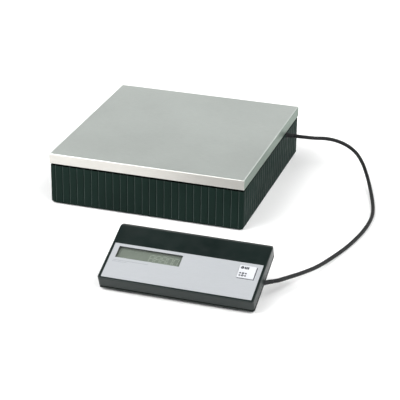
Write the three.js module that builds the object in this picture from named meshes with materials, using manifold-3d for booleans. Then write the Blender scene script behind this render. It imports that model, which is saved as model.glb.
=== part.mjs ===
// A parcel scale in two units joined by one cable.
// The platform is a folded stainless weighing pan over a ribbed plastic base with a single-point load cell.
// The display unit is a tilted slab whose wedge-shaped underside holds four batteries.
// Millimetres. +X runs to the right, +Y to the rear, +Z up.
// The origin is on the table, in the middle of the rectangle that the two units take up.

import * as THREE from 'three';
import { mergeVertices } from 'three/addons/utils/BufferGeometryUtils.js';
import Module from 'manifold-3d';

const wasm = await Module();
wasm.setup();

// ---- Driving dimensions ----

const SET = { width: 406, depth: 579 }; // both units together
const GAP = 0.3; // left where one piece rests on or sits in another
const OVERRUN = 1; // how far a cutting tool reaches past a face

const PAN = { width: 318, depth: 327, top: 85.6, skirt: 16.6, sheet: 1.2, corner: 1.2, bend: 2.2 };

const BASE = {
  width: 316.8,
  depth: 325.8,
  bottom: 2,
  ribTop: 66,
  rimTop: 75,
  wall: 3,
  floor: 3,
  corner: 4,
  plinth: 2,
  plinthInset: 1.2,
  rimInset: 4.5,
  rimWall: 2.5,
};
const GROOVE = { pitch: 12, width: 2, depth: 1.1, endMargin: 7 };
const FOOT = { radius: 12, stem: 3, x: 128, y: 132, stemTop: 9 };

const FRAME = { width: 230, depth: 180, bottom: 10, thick: 4, holeX: 100, holeY: 76, holeR: 2.8, bossR: 7 };
const CELL = { length: 150, width: 25, height: 40, bottom: 22, boreR: 10, boreX: 17, boltX: [52, 67] };
const WINDOW = { radius: 24, x: 50, y: 52 }; // the frame's round openings
// The overload stop under the cell's free end.
const STOP = { x: 38, radius: 4, clearance: 1, below: 4, nutRadius: 7.5, nutThick: 3 };
const BOLT = { radius: 3, head: 5, headHeight: 3.5, grip: 13, holeDepth: 16 };
const CARRIER = { bottom: 67, top: 75.6, armWidth: 26, plateWidth: 176, plateDepth: 64 };
const PAD = { radius: 12, stem: 3.5, x: 118, y: 118 };

const CABLE = { radius: 3, leadRadius: 1.8 };
const GLAND = { y: 87, z: 63, neck: 3.9, flange: 4.8, flangeThick: 1.6, tip: 3.4, length: 12 };

const DISPLAY = {
  width: 228.6,
  depth: 109.5,
  thick: 22.1,
  tilt: 21.5,
  lift: 2,
  corner: 4,
  edge: 1.2,
  rearSlope: 3,
  wall: 2.2,
  split: 5,
};
const TILT = THREE.MathUtils.degToRad(DISPLAY.tilt);
const SLOPE = Math.tan(TILT);

const PANEL = { left: 4.3, right: 224.9, front: 3.5, rear: 69.3, recess: 0.7, thick: 0.5 };
const LCD = { left: 12.6, right: 108.2, front: 42.4, rear: 63.9 };
const KEY = { left: 192.6, right: 216.9, front: 40.4, rear: 63.1, proud: 0.9, travel: 0.6 };

const WEDGE = { left: 14, right: 214.6, front: 46, rear: 97, bottom: -0.5, wall: 2 };
const SWITCH = { half: 3, body: 2.8, height: 3.6, plungerR: 1.7 };
const BOARD = { left: 14, right: 211, front: 28, rear: 70, bottom: 8.4, top: 10 };
const BATTERY = { radius: 7.25, body: 49.2, nub: 1.3, nubR: 2.75, rows: [60, 76] };
const SPRING = { length: 6.1, plate: 0.8, coilR: 3, wireR: 0.4, turns: 4 };
// The door's edges run in a slot: the rail is below them, and the lip is how far they reach into the case.
const DOOR = { thick: 1.3, inset: 2.4, front: 50, rail: 0.6, slot: 2.4, lip: 2 };
// Two batteries end to end with a spring at one end and a plate at the other.
const BAY_LENGTH = SPRING.length + 2 * (BATTERY.body + BATTERY.nub) + SPRING.plate + 5 * GAP;
const BAY = { left: 55, right: 55 + BAY_LENGTH };
// The boot leaves the slab's right side at a place on its face, and heads off at an angle from +X.
const BOOT = {
  depthAt: 52.9,
  heightAt: 4.6,
  heading: 46,
  droop: 0.08,
  neck: 3.4,
  tip: 3.15,
  inner: 10,
  outer: 14,
};

// Where each unit stands.
const PLATFORM_AT = new THREE.Vector3((PAN.width - SET.width) / 2, (SET.depth - PAN.depth) / 2, 0);
const DISPLAY_AT = new THREE.Vector3(
  SET.width / 2 - DISPLAY.width,
  (DISPLAY.thick - DISPLAY.edge) * Math.sin(TILT) + DISPLAY.edge * (1 - Math.cos(TILT)) - SET.depth / 2,
  DISPLAY.lift,
);

// ---- Finishes ----

function finish(colour, roughness, metalness) {
  return new THREE.MeshStandardMaterial({ color: colour, roughness, metalness });
}

const BLACK_PLASTIC = finish(0x2a3430, 0.5, 0);
const RIBBED_PLASTIC = finish(0x2c3733, 0.55, 0);
const STEEL_PAN = finish(0xb9bebb, 0.35, 1);
const ZINC_STEEL = finish(0xa6a9a6, 0.4, 1);
const CAST_ALUMINIUM = finish(0x9fa3a5, 0.55, 1);
const CELL_ALUMINIUM = finish(0xc4c8ca, 0.3, 1);
const RUBBER = finish(0x17191a, 0.85, 0);
const CABLE_JACKET = finish(0x15181a, 0.5, 0);
const SILVER_PANEL = finish(0xd6dade, 0.4, 0.2);
const KEY_FACE = finish(0xe2e5e9, 0.45, 0);
const LCD_GREEN = finish(0x98a693, 0.3, 0);
const CLEAR_LENS = finish(0xdfe6df, 0.08, 0);
const BOARD_GREEN = finish(0x1f5a38, 0.5, 0);
const BATTERY_JACKET = finish(0x3d4650, 0.4, 0.1);

// ---- Shape helpers ----

// A closed solid of a geometry, ready for cutting and joining.
function toSolid(geometry) {
  const bare = geometry.clone();
  bare.deleteAttribute('normal');
  bare.deleteAttribute('uv');
  const merged = mergeVertices(bare, 1e-4);
  return new wasm.Manifold(
    new wasm.Mesh({
      numProp: 3,
      vertProperties: new Float32Array(merged.attributes.position.array),
      triVerts: new Uint32Array(merged.index.array),
    }),
  );
}

function toGeometry(solid) {
  const mesh = solid.getMesh();
  const geometry = new THREE.BufferGeometry();
  geometry.setAttribute('position', new THREE.BufferAttribute(mesh.vertProperties, 3));
  geometry.setIndex(new THREE.BufferAttribute(mesh.triVerts, 1));
  geometry.computeVertexNormals();
  return geometry;
}

function cut(body, ...tools) {
  return toGeometry(tools.reduce((rest, tool) => rest.subtract(toSolid(tool)), toSolid(body)));
}

function join(body, ...others) {
  return toGeometry(others.reduce((whole, other) => whole.add(toSolid(other)), toSolid(body)));
}

function block(x0, x1, y0, y1, z0, z1) {
  const box = new THREE.BoxGeometry(x1 - x0, y1 - y0, z1 - z0);
  return box.translate((x0 + x1) / 2, (y0 + y1) / 2, (z0 + z1) / 2);
}

// An upright round bar centred on (x, y).
function rod(radius, x, y, z0, z1, sides = 12) {
  const bar = new THREE.CylinderGeometry(radius, radius, z1 - z0, sides);
  return bar.rotateX(Math.PI / 2).translate(x, y, (z0 + z1) / 2);
}

// A turned piece about the Z axis. The profile is [radius, height] pairs from the bottom to the top.
function turned(profile, sides = 16) {
  const points = profile.map(([radius, height]) => new THREE.Vector2(radius, height));
  return new THREE.LatheGeometry(points, sides).rotateX(Math.PI / 2);
}

// Points along one side of a grooved outline: the grooves are centred on it, each a V cut square into it.
function groovePoints(start, along, inward, length) {
  const count = Math.floor((length - 2 * GROOVE.endMargin) / GROOVE.pitch) + 1;
  const first = (length - (count - 1) * GROOVE.pitch) / 2;
  const points = [];
  for (let i = 0; i < count; i += 1) {
    const middle = first + i * GROOVE.pitch;
    for (const [step, depth] of [[-1, 0], [0, GROOVE.depth], [1, 0]]) {
      const distance = middle + (step * GROOVE.width) / 2;
      points.push(start.clone().addScaledVector(along, distance).addScaledVector(inward, depth));
    }
  }
  return points;
}

// A rectangle with round corners, counterclockwise, with grooves down its sides if asked.
function outline(x0, x1, y0, y1, corner, grooved = false) {
  const sides = [
    { start: [x0, y0], along: [1, 0], length: x1 - x0 },
    { start: [x1, y0], along: [0, 1], length: y1 - y0 },
    { start: [x1, y1], along: [-1, 0], length: x1 - x0 },
    { start: [x0, y1], along: [0, -1], length: y1 - y0 },
  ];
  const arcSteps = 3;
  const points = [];
  for (const side of sides) {
    const start = new THREE.Vector2(...side.start);
    const along = new THREE.Vector2(...side.along);
    const inward = new THREE.Vector2(-along.y, along.x);
    const centre = start.clone().addScaledVector(along, corner).addScaledVector(inward, corner);
    for (let i = 0; i <= arcSteps; i += 1) {
      const angle = ((i / arcSteps) * Math.PI) / 2;
      const point = centre.clone().addScaledVector(along, -corner * Math.cos(angle));
      points.push(point.addScaledVector(inward, -corner * Math.sin(angle)));
    }
    if (grooved) points.push(...groovePoints(start, along, inward, side.length));
  }
  return points;
}

// An outline centred on the origin and drawn in from the given width and depth on every side.
function centred(width, depth, inset, corner, grooved = false) {
  const x = width / 2 - inset;
  const y = depth / 2 - inset;
  return outline(-x, x, -y, y, corner, grooved);
}

function prism(points, z0, z1, holes = []) {
  const shape = new THREE.Shape(points);
  shape.holes = holes.map((hole) => new THREE.Path(hole));
  return new THREE.ExtrudeGeometry(shape, { depth: z1 - z0, bevelEnabled: false }).translate(0, 0, z0);
}

// A bar along X whose section is given as [y, z] pairs, counterclockwise seen from +X.
function barAlongX(section, x0, x1) {
  const turn = new THREE.Matrix4().makeBasis(
    new THREE.Vector3(0, 1, 0),
    new THREE.Vector3(0, 0, 1),
    new THREE.Vector3(1, 0, 0),
  );
  const points = section.map(([y, z]) => new THREE.Vector2(y, z));
  return prism(points, x0, x1).applyMatrix4(turn);
}

// A closed skin through outlines that have the same number of points, given as [points, height] pairs.
function loft(sections) {
  const count = sections[0][0].length;
  const positions = sections.flatMap(([points, z]) => points.flatMap((point) => [point.x, point.y, z]));
  const faces = [];
  for (let s = 0; s < sections.length - 1; s += 1) {
    for (let i = 0; i < count; i += 1) {
      const a = s * count + i;
      const b = s * count + ((i + 1) % count);
      faces.push(a, b, b + count, a, b + count, a + count);
    }
  }
  const top = (sections.length - 1) * count;
  for (const [a, b, c] of THREE.ShapeUtils.triangulateShape(sections[0][0], [])) {
    faces.push(a, c, b);
  }
  for (const [a, b, c] of THREE.ShapeUtils.triangulateShape(sections.at(-1)[0], [])) {
    faces.push(top + a, top + b, top + c);
  }
  const geometry = new THREE.BufferGeometry();
  geometry.setAttribute('position', new THREE.Float32BufferAttribute(positions, 3));
  geometry.setIndex(faces);
  return geometry.toNonIndexed();
}

// A tube through points, with a step about every 2.5 diameters.
function tube(points, radius, sides = 10) {
  const stops = points.map((point) => new THREE.Vector3(...point));
  const path = new THREE.CatmullRomCurve3(stops, false, 'centripetal');
  const section = [];
  for (let i = 0; i < sides; i += 1) {
    const angle = (i / sides) * 2 * Math.PI;
    section.push(new THREE.Vector2(radius * Math.cos(angle), radius * Math.sin(angle)));
  }
  const steps = Math.ceil(path.getLength() / (5 * radius));
  return new THREE.ExtrudeGeometry(new THREE.Shape(section), { steps, extrudePath: path });
}

// A screw with its head on top: z = 0 is under the head, and the shank points down.
function screw(headRadius, headHeight, shankRadius, length) {
  const profile = [
    [0, -length],
    [shankRadius, -length],
    [shankRadius, 0],
    [headRadius, 0],
    [headRadius, headHeight],
    [0, headHeight],
  ];
  return turned(profile, 12);
}

// A cutting bar that runs past both faces of a plate.
function through(radius, x, y, z0, z1, sides) {
  return rod(radius, x, y, z0 - OVERRUN, z1 + OVERRUN, sides);
}

const scale = new THREE.Group();
const platform = new THREE.Group();
platform.position.copy(PLATFORM_AT);
// The display slab's own frame: x right, y up the slope, z square to its face.
const tilted = new THREE.Group();
tilted.position.copy(DISPLAY_AT);
tilted.rotation.x = TILT;
// The same corner with its axes level.
const level = new THREE.Group();
level.position.copy(DISPLAY_AT);
scale.add(platform, tilted, level);

function place(parent, name, geometry, material, x = 0, y = 0, z = 0) {
  const mesh = new THREE.Mesh(geometry, material);
  mesh.name = name;
  mesh.position.set(x, y, z);
  parent.add(mesh);
}

const CORNERS = [[-1, -1], [1, -1], [1, 1], [-1, 1]];

// ---- Platform: pan and carrier ----

function weighingPan() {
  const { width, depth, top, skirt, sheet, corner, bend } = PAN;
  const bottom = top - skirt;
  const outer = loft([
    [centred(width, depth, 0, corner), bottom],
    [centred(width, depth, 0, corner), top - bend],
    [centred(width, depth, bend * 0.3, corner), top - bend * 0.3],
    [centred(width, depth, bend, corner), top],
  ]);
  const inner = loft([
    [centred(width, depth, sheet, corner), bottom - OVERRUN],
    [centred(width, depth, sheet, corner), top - bend],
    [centred(width, depth, bend, corner), top - sheet],
  ]);
  place(platform, 'weighing_pan', cut(outer, inner), STEEL_PAN);
}

function panCarrier() {
  const { bottom, top, armWidth, plateWidth, plateDepth } = CARRIER;
  const reach = Math.hypot(PAD.x, PAD.y) + armWidth / 2;
  const lean = Math.atan2(PAD.y, PAD.x);
  const armOutline = outline(-reach, reach, -armWidth / 2, armWidth / 2, armWidth / 2 - 1);
  const arm = () => prism(armOutline, bottom, top);
  const plate = prism(centred(plateWidth, plateDepth, 0, 6), bottom, top);
  const body = join(arm().rotateZ(lean), arm().rotateZ(-lean), plate);
  const padHoles = CORNERS.map(([sx, sy]) =>
    through(PAD.stem + GAP, sx * PAD.x, sy * PAD.y, bottom, top));
  const boltHoles = CELL.boltX.map((x) => through(BOLT.radius + GAP, x, 0, bottom, top));
  place(platform, 'pan_carrier', cut(body, ...padHoles, ...boltHoles), CAST_ALUMINIUM);
  panPads();
}

function panPads() {
  const padTop = PAN.top - PAN.sheet - GAP;
  const stemEnd = CARRIER.bottom + 1;
  const seat = CARRIER.top + GAP;
  const pad = turned([
    [0, stemEnd],
    [PAD.stem, stemEnd],
    [PAD.stem, seat],
    [PAD.radius, seat],
    [PAD.radius, padTop - 1],
    [PAD.radius - 1, padTop],
    [0, padTop],
  ]);
  CORNERS.forEach(([sx, sy], i) => {
    place(platform, `pan_pad_${i + 1}`, pad, RUBBER, sx * PAD.x, sy * PAD.y);
  });
}

// ---- Platform: base ----

function baseShell() {
  const { width, depth, bottom, ribTop, rimTop, wall, floor, corner, plinth, plinthInset } = BASE;
  const { rimInset, rimWall } = BASE;
  const floorTop = bottom + floor;
  const rimInner = rimInset + rimWall;
  const body = join(
    prism(centred(width, depth, plinthInset, corner), bottom, bottom + plinth + OVERRUN),
    prism(centred(width, depth, 0, corner, true), bottom + plinth, ribTop),
    prism(centred(width, depth, rimInset, corner), ribTop - OVERRUN, rimTop),
  );
  const hollow = join(
    prism(centred(width, depth, wall, corner - 1), floorTop, ribTop - wall),
    prism(centred(width, depth, rimInner, corner - 1), ribTop - wall - OVERRUN, rimTop + OVERRUN),
  );
  const bosses = frameScrewPlaces().map(([x, y]) =>
    rod(FRAME.bossR, x, y, floorTop - OVERRUN, FRAME.bottom - GAP));
  const bossHoles = frameScrewPlaces().map(([x, y]) =>
    rod(FRAME.holeR, x, y, floorTop + 0.5, FRAME.bottom));
  const footHoles = CORNERS.map(([sx, sy]) =>
    through(FOOT.stem + GAP, sx * FOOT.x, sy * FOOT.y, bottom, floorTop));
  const slotWidth = GLAND.neck + GAP;
  const slotX = width / 2 - rimInner - OVERRUN;
  const slotEnd = width / 2 + OVERRUN;
  const slot = join(
    block(slotX, slotEnd, GLAND.y - slotWidth, GLAND.y + slotWidth, GLAND.z, rimTop + OVERRUN),
    rod(slotWidth, 0, 0, slotX, slotEnd).rotateY(Math.PI / 2).translate(0, GLAND.y, GLAND.z),
  );
  const box = join(cut(body, hollow), ...floorRibs(floorTop), ...bosses);
  place(platform, 'base_shell', cut(box, ...bossHoles, ...footHoles, slot), RIBBED_PLASTIC);
}

// Low ribs that stiffen the floor, two each way, stopping short of the frame's bosses.
function floorRibs(floorTop) {
  const rib = { half: 1, x: 141, y: 105, bottom: floorTop - OVERRUN, top: floorTop + 4 };
  const reachX = BASE.width / 2 - BASE.wall + OVERRUN;
  const reachY = BASE.depth / 2 - BASE.wall + OVERRUN;
  return [-1, 1].flatMap((side) => [
    block(-reachX, reachX, side * rib.y - rib.half, side * rib.y + rib.half, rib.bottom, rib.top),
    block(side * rib.x - rib.half, side * rib.x + rib.half, -reachY, reachY, rib.bottom, rib.top),
  ]);
}

function frameScrewPlaces() {
  return CORNERS.map(([sx, sy]) => [sx * FRAME.holeX, sy * FRAME.holeY]);
}

function baseFeet() {
  const floorUnder = BASE.bottom - GAP;
  const foot = turned([
    [0, 0],
    [FOOT.radius - 0.6, 0],
    [FOOT.radius, 0.6],
    [FOOT.radius, floorUnder],
    [FOOT.stem, floorUnder],
    [FOOT.stem, FOOT.stemTop],
    [0, FOOT.stemTop],
  ]);
  CORNERS.forEach(([sx, sy], i) => {
    place(platform, `base_foot_${i + 1}`, foot, RUBBER, sx * FOOT.x, sy * FOOT.y);
  });
}

// ---- Platform: load cell on its frame ----

function baseFrame() {
  const { width, depth, bottom, thick } = FRAME;
  const top = bottom + thick;
  const bore = (radius, x, y) => through(radius, x, y, bottom, top);
  const plate = prism(centred(width, depth, 0, 8), bottom, top);
  const windows = CORNERS.map(([sx, sy]) => bore(WINDOW.radius, sx * WINDOW.x, sy * WINDOW.y));
  const screwHoles = frameScrewPlaces().map(([x, y]) => bore(FRAME.holeR, x, y));
  const boltHoles = CELL.boltX.map((x) => bore(BOLT.radius + GAP, -x, 0));
  const stopHole = bore(STOP.radius + GAP, STOP.x, 0);
  place(platform, 'base_frame', cut(plate, ...windows, ...screwHoles, ...boltHoles, stopHole), ZINC_STEEL);
  const frameScrew = screw(4.5, 2.8, 2.5, 8);
  frameScrewPlaces().forEach(([x, y], i) => {
    place(platform, `frame_screw_${i + 1}`, frameScrew, ZINC_STEEL, x, y, top + GAP);
  });
}

// The beam has two round bores joined by a slot, so it bends as a parallelogram.
function loadCell() {
  const { length, width, height, bottom, boreR, boreX, boltX } = CELL;
  const middle = bottom + height / 2;
  const top = bottom + height;
  const slotHalf = 4;
  const beam = block(-length / 2, length / 2, -width / 2, width / 2, bottom, top);
  const bores = [-boreX, boreX].map((x) =>
    rod(boreR, 0, 0, -width, width, 24).rotateX(Math.PI / 2).translate(x, 0, middle));
  const slot = block(-boreX, boreX, -width, width, middle - slotHalf, middle + slotHalf);
  const holeR = BOLT.radius + GAP;
  const lowHoles = boltX.map((x) => rod(holeR, -x, 0, bottom - OVERRUN, bottom + BOLT.holeDepth));
  const highHoles = boltX.map((x) => rod(holeR, x, 0, top - BOLT.holeDepth, top + OVERRUN));
  place(platform, 'load_cell', cut(beam, ...bores, slot, ...lowHoles, ...highHoles), CELL_ALUMINIUM);
}

function cellFasteners() {
  const frameTop = FRAME.bottom + FRAME.thick;
  const cellTop = CELL.bottom + CELL.height;
  const spacer = (x0, x1, z0, z1, sign) => {
    const holes = CELL.boltX.map((x) => through(BOLT.radius + GAP, sign * x, 0, z0, z1));
    return cut(block(x0, x1, -CELL.width / 2, CELL.width / 2, z0, z1), ...holes);
  };
  const end = CELL.length / 2;
  const spacerLength = 32;
  const lower = spacer(-end, -end + spacerLength, frameTop + GAP, CELL.bottom - GAP, -1);
  const upper = spacer(end - spacerLength, end, cellTop + GAP, CARRIER.bottom - GAP, 1);
  place(platform, 'cell_spacer_lower', lower, ZINC_STEEL);
  place(platform, 'cell_spacer_upper', upper, ZINC_STEEL);
  const bolt = (length) => screw(BOLT.head, BOLT.headHeight, BOLT.radius, length + BOLT.grip);
  const fixedBolt = bolt(CELL.bottom - FRAME.bottom).rotateX(Math.PI);
  const liveBolt = bolt(CARRIER.top - cellTop);
  CELL.boltX.forEach((x, i) => {
    place(platform, `cell_bolt_fixed_${i + 1}`, fixedBolt, ZINC_STEEL, -x, 0, FRAME.bottom - GAP);
    place(platform, `cell_bolt_live_${i + 1}`, liveBolt, ZINC_STEEL, x, 0, CARRIER.top + GAP);
  });
  overloadStop(frameTop);
}

// A set screw under the free end stops the beam before it yields.
function overloadStop(frameTop) {
  const { radius, clearance, below, nutRadius, nutThick } = STOP;
  const end = FRAME.bottom - below;
  const tip = CELL.bottom - clearance;
  const stem = turned([
    [0, end],
    [radius - 1, end],
    [radius, end + 1],
    [radius, tip - 0.5],
    [radius - 1, tip],
    [0, tip],
  ]);
  place(platform, 'overload_stop_screw', stem, ZINC_STEEL, STOP.x);
  const nutBottom = frameTop + GAP;
  const nutTop = nutBottom + nutThick;
  const hexagon = rod(nutRadius, 0, 0, nutBottom, nutTop, 6);
  const nut = cut(hexagon, through(radius + GAP, 0, 0, nutBottom, nutTop));
  place(platform, 'overload_stop_nut', nut, ZINC_STEEL, STOP.x);
}

// ---- Platform: where the cable leaves ----

// A rubber grommet in the slot of the base wall, with a short taper outside.
function baseGland() {
  const { neck, flange, flangeThick, tip, length, y, z } = GLAND;
  const wallIn = -(BASE.rimInset + BASE.rimWall) - GAP;
  const wallOut = GAP;
  const profile = [
    [0, wallIn - flangeThick],
    [flange, wallIn - flangeThick],
    [flange, wallIn],
    [neck, wallIn],
    [neck, wallOut],
    [flange, wallOut],
    [flange, wallOut + flangeThick],
    [tip + 0.5, wallOut + flangeThick + 1],
    [tip, length],
    [0, length],
  ];
  const gland = turned(profile).rotateY(Math.PI / 2);
  place(platform, 'base_cable_gland', gland, RUBBER, BASE.width / 2, y, z);
}

function innerLead() {
  const inside = BASE.width / 2 - BASE.rimInset - BASE.rimWall - 2 * GAP - GLAND.flangeThick;
  const clipX = 96;
  const clipY = 52;
  const leadZ = FRAME.bottom + FRAME.thick + CABLE.leadRadius + 1;
  const route = [
    [30, CELL.width / 2 + 2 * GAP, 28],
    [30, 19, 28],
    [34, 27, 24],
    [50, 40, leadZ],
    [78, 50, leadZ],
    [clipX, clipY, leadZ],
    [116, 58, leadZ + 1],
    [132, 71, 34],
    [138, 83, 56],
    [inside - 6, GLAND.y, GLAND.z],
    [inside - GAP, GLAND.y, GLAND.z],
  ];
  place(platform, 'load_cell_lead', tube(route, CABLE.leadRadius, 8), CABLE_JACKET);
  const frameTop = FRAME.bottom + FRAME.thick + GAP;
  const saddleTop = leadZ + CABLE.leadRadius + 2;
  const tunnel = CABLE.leadRadius + GAP;
  const saddle = cut(
    block(-4, 4, -8, 8, frameTop, saddleTop),
    block(-5, 5, -tunnel, tunnel, frameTop - OVERRUN, leadZ + tunnel),
  ).rotateZ(0.15);
  place(platform, 'lead_clip', saddle, BLACK_PLASTIC, clipX, clipY);
}

// ---- Display: cases ----

function caseScrewPlaces() {
  const inset = 9;
  const { width, depth } = DISPLAY;
  return [[inset, inset], [width - inset, inset], [width - inset, depth - inset], [inset, depth - inset]];
}

// The slab's outline drawn in by an inset, and at the rear by its own.
function slabOutline(inset, rear = inset) {
  const { width, depth, corner } = DISPLAY;
  return outline(inset, width - inset, inset, depth - rear, Math.max(corner - inset, 0.8));
}

// The outline a margin outside a rectangle of the display's face.
function around({ left, right, front, rear }, margin, corner) {
  return outline(left - margin, right + margin, front - margin, rear + margin, corner);
}

// A point on the slab's right side, in the level frame.
function bootPlace() {
  const y = BOOT.depthAt * Math.cos(TILT) - BOOT.heightAt * Math.sin(TILT);
  const z = BOOT.depthAt * Math.sin(TILT) + BOOT.heightAt * Math.cos(TILT);
  return new THREE.Vector3(DISPLAY.width, y, z);
}

function bootDirection() {
  const heading = THREE.MathUtils.degToRad(BOOT.heading);
  return new THREE.Vector3(Math.cos(heading), Math.sin(heading), -BOOT.droop).normalize();
}

// Turns a piece made along Z to lie along the cable where it enters the display.
function alongBoot(geometry) {
  const turn = new THREE.Quaternion().setFromUnitVectors(new THREE.Vector3(0, 0, 1), bootDirection());
  const spot = bootPlace();
  return geometry.applyQuaternion(turn).translate(spot.x, spot.y, spot.z);
}

function bootHole() {
  return alongBoot(rod(BOOT.neck + GAP, 0, 0, -BOOT.inner - 4, BOOT.outer)).rotateX(-TILT);
}

function topShell() {
  const { thick, wall, split, edge, rearSlope } = DISPLAY;
  const ceiling = thick - wall;
  // One step of the round edge is at the tilt, where the edge reaches furthest to the front.
  const rounding = [0, DISPLAY.tilt, 55, 90].map((degrees) => {
    const angle = THREE.MathUtils.degToRad(degrees);
    const draw = 1 - Math.cos(angle);
    return [slabOutline(edge * draw, rearSlope * draw), thick - edge + edge * Math.sin(angle)];
  });
  const outer = loft([[slabOutline(0), split], ...rounding]);
  const hollow = prism(slabOutline(wall), split - OVERRUN, ceiling);
  const recess = prism(around(PANEL, 0, 1), thick - PANEL.recess, thick + OVERRUN);
  const lcdHole = prism(around(LCD, 1, 1), ceiling - OVERRUN, thick);
  const keyHole = prism(around(KEY, 0.5, 1.5), ceiling - OVERRUN, thick);
  const bosses = caseScrewPlaces().map(([x, y]) => rod(3.5, x, y, split + GAP, ceiling + 0.5));
  const bossHoles = caseScrewPlaces().map(([x, y]) => rod(1.55, x, y, split - OVERRUN, ceiling - 1.5));
  const posts = boardPosts().map(([x, y]) => rod(3, x, y, BOARD.top + GAP, ceiling + 0.5));
  const shell = join(cut(outer, hollow), ...bosses, ...posts);
  const finished = cut(shell, recess, lcdHole, keyHole, ...bossHoles, bootHole());
  place(tilted, 'display_top_shell', finished, BLACK_PLASTIC);
}

// The wedge's section in the level frame, drawn in on the front and rear and cut off at a floor height.
function wedgeSection(inset, floor, above) {
  const front = WEDGE.front + inset;
  const rear = WEDGE.rear - inset;
  return [[front, floor], [rear, floor], [rear, rear * SLOPE + above], [front, front * SLOPE + above]];
}

function bottomShell() {
  const { wall, split } = DISPLAY;
  const top = split - GAP;
  const floor = 2;
  const tray = cut(
    loft([[slabOutline(1.4), 0], [slabOutline(0), 1.4], [slabOutline(0), top]]),
    prism(slabOutline(wall), floor, split + OVERRUN),
  );
  const wedge = barAlongX(wedgeSection(0, WEDGE.bottom, 0.6), WEDGE.left, WEDGE.right).rotateX(-TILT);
  const bay = barAlongX(wedgeSection(WEDGE.wall, WEDGE.bottom + 2, 0), BAY.left, BAY.right).rotateX(-TILT);
  const pockets = [[WEDGE.left + WEDGE.wall, BAY.left - 4], [BAY.right + 4, WEDGE.right - WEDGE.wall]].map(
    ([x0, x1]) => barAlongX(wedgeSection(WEDGE.wall, WEDGE.bottom + 2, floor + 1), x0, x1).rotateX(-TILT));
  const bosses = caseScrewPlaces().map(([x, y]) => rod(4.5, x, y, floor - 1, top));
  const bossHoles = caseScrewPlaces().map(([x, y]) => rod(1.6, x, y, -OVERRUN, split + OVERRUN));
  const headHoles = caseScrewPlaces().map(([x, y]) => rod(3.2, x, y, -OVERRUN, 2.1));
  const body = join(tray, wedge, ...bosses);
  const shell = cut(body, bay, ...pockets, ...doorSlot(), ...bossHoles, ...headHoles, bootHole());
  place(tilted, 'display_bottom_shell', shell, BLACK_PLASTIC);
}

// The door slides in from the rear: a wide slot that holds its edges, and a narrower way below it.
function doorSlot() {
  const rear = WEDGE.rear + OVERRUN;
  const slotTop = WEDGE.bottom + DOOR.slot;
  const railTop = WEDGE.bottom + DOOR.rail;
  const wide = block(BAY.left - DOOR.lip, BAY.right + DOOR.lip, DOOR.front, rear, railTop, slotTop);
  const narrow = block(BAY.left, BAY.right, DOOR.front + DOOR.lip, rear, WEDGE.bottom - OVERRUN, slotTop);
  return [wide.rotateX(-TILT), narrow.rotateX(-TILT)];
}

function batteryDoor() {
  const rear = WEDGE.rear;
  const reach = DOOR.lip - GAP;
  const under = WEDGE.bottom + DOOR.rail + GAP;
  const top = under + DOOR.thick;
  const plate = block(BAY.left - reach, BAY.right + reach, DOOR.front + GAP, rear, under, top);
  const faceLow = WEDGE.bottom + 0.1;
  const face = block(BAY.left + GAP, BAY.right - GAP, DOOR.front + DOOR.inset, rear, faceLow, under + 0.5);
  place(level, 'battery_door', join(plate, face), BLACK_PLASTIC);
}

function caseScrews() {
  const caseScrew = screw(2.8, 1.6, 1.25, 9).rotateX(Math.PI);
  caseScrewPlaces().forEach(([x, y], i) => {
    place(tilted, `case_screw_${i + 1}`, caseScrew, ZINC_STEEL, x, y, 2.1 - GAP);
  });
}

// Two pads under the front edge and two discs under the wedge, all reaching down to the table.
function displayFeet() {
  const table = -DISPLAY.lift;
  const under = (y) => y * SLOPE - GAP / Math.cos(TILT);
  const pad = barAlongX([[4, table], [14, table], [14, under(14)], [4, under(4)]], -11, 11);
  place(level, 'display_foot_front_left', pad, RUBBER, 36);
  place(level, 'display_foot_front_right', pad, RUBBER, DISPLAY.width - 36);
  const disc = rod(5.5, 0, 0, table, WEDGE.bottom - GAP);
  place(level, 'display_foot_rear_left', disc, RUBBER, WEDGE.left + 12, WEDGE.rear - 10);
  place(level, 'display_foot_rear_right', disc, RUBBER, WEDGE.right - 12, WEDGE.rear - 10);
}

// ---- Display: panel, window and electronics ----

function boardPosts() {
  return [[120, 34], [120, 64], [178, 34], [178, 64]];
}

function frontPanel() {
  const seat = DISPLAY.thick - PANEL.recess + GAP;
  const openings = [around(LCD, 0, 0.8).reverse(), around(KEY, 0.4, 1.4).reverse()];
  const sheet = prism(around(PANEL, -GAP, 0.8), seat, seat + PANEL.thick, openings);
  place(tilted, 'front_panel', sheet, SILVER_PANEL);
}

function lcdParts() {
  const ceiling = DISPLAY.thick - DISPLAY.wall;
  const lensTop = ceiling - GAP;
  const lens = prism(around(LCD, 3, 1), lensTop - 1.2, lensTop);
  place(tilted, 'lcd_window', lens, CLEAR_LENS);
  const glassTop = lensTop - 1.2 - GAP;
  const glassBottom = glassTop - 3.6;
  place(tilted, 'lcd_module', block(LCD.left - 1, LCD.right + 1, 36, 66, glassBottom, glassTop), LCD_GREEN);
  const strip = block(LCD.left + 4, LCD.right - 4, 37, 39.5, BOARD.top + GAP, glassBottom - GAP);
  place(tilted, 'lcd_connector_strip', strip, RUBBER);
}

function circuitBoard() {
  const board = block(BOARD.left, BOARD.right, BOARD.front, BOARD.rear, BOARD.bottom, BOARD.top);
  place(tilted, 'display_circuit_board', board, BOARD_GREEN);
  const x = (KEY.left + KEY.right) / 2;
  const y = (KEY.front + KEY.rear) / 2;
  const { half, body: bodyHeight, height, plungerR } = SWITCH;
  const body = block(-half, half, -half, half, BOARD.top + GAP, BOARD.top + bodyHeight);
  const plunger = rod(plungerR, 0, 0, BOARD.top + bodyHeight - 1, BOARD.top + height);
  place(tilted, 'key_switch', join(body, plunger), BLACK_PLASTIC, x, y);
}

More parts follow.
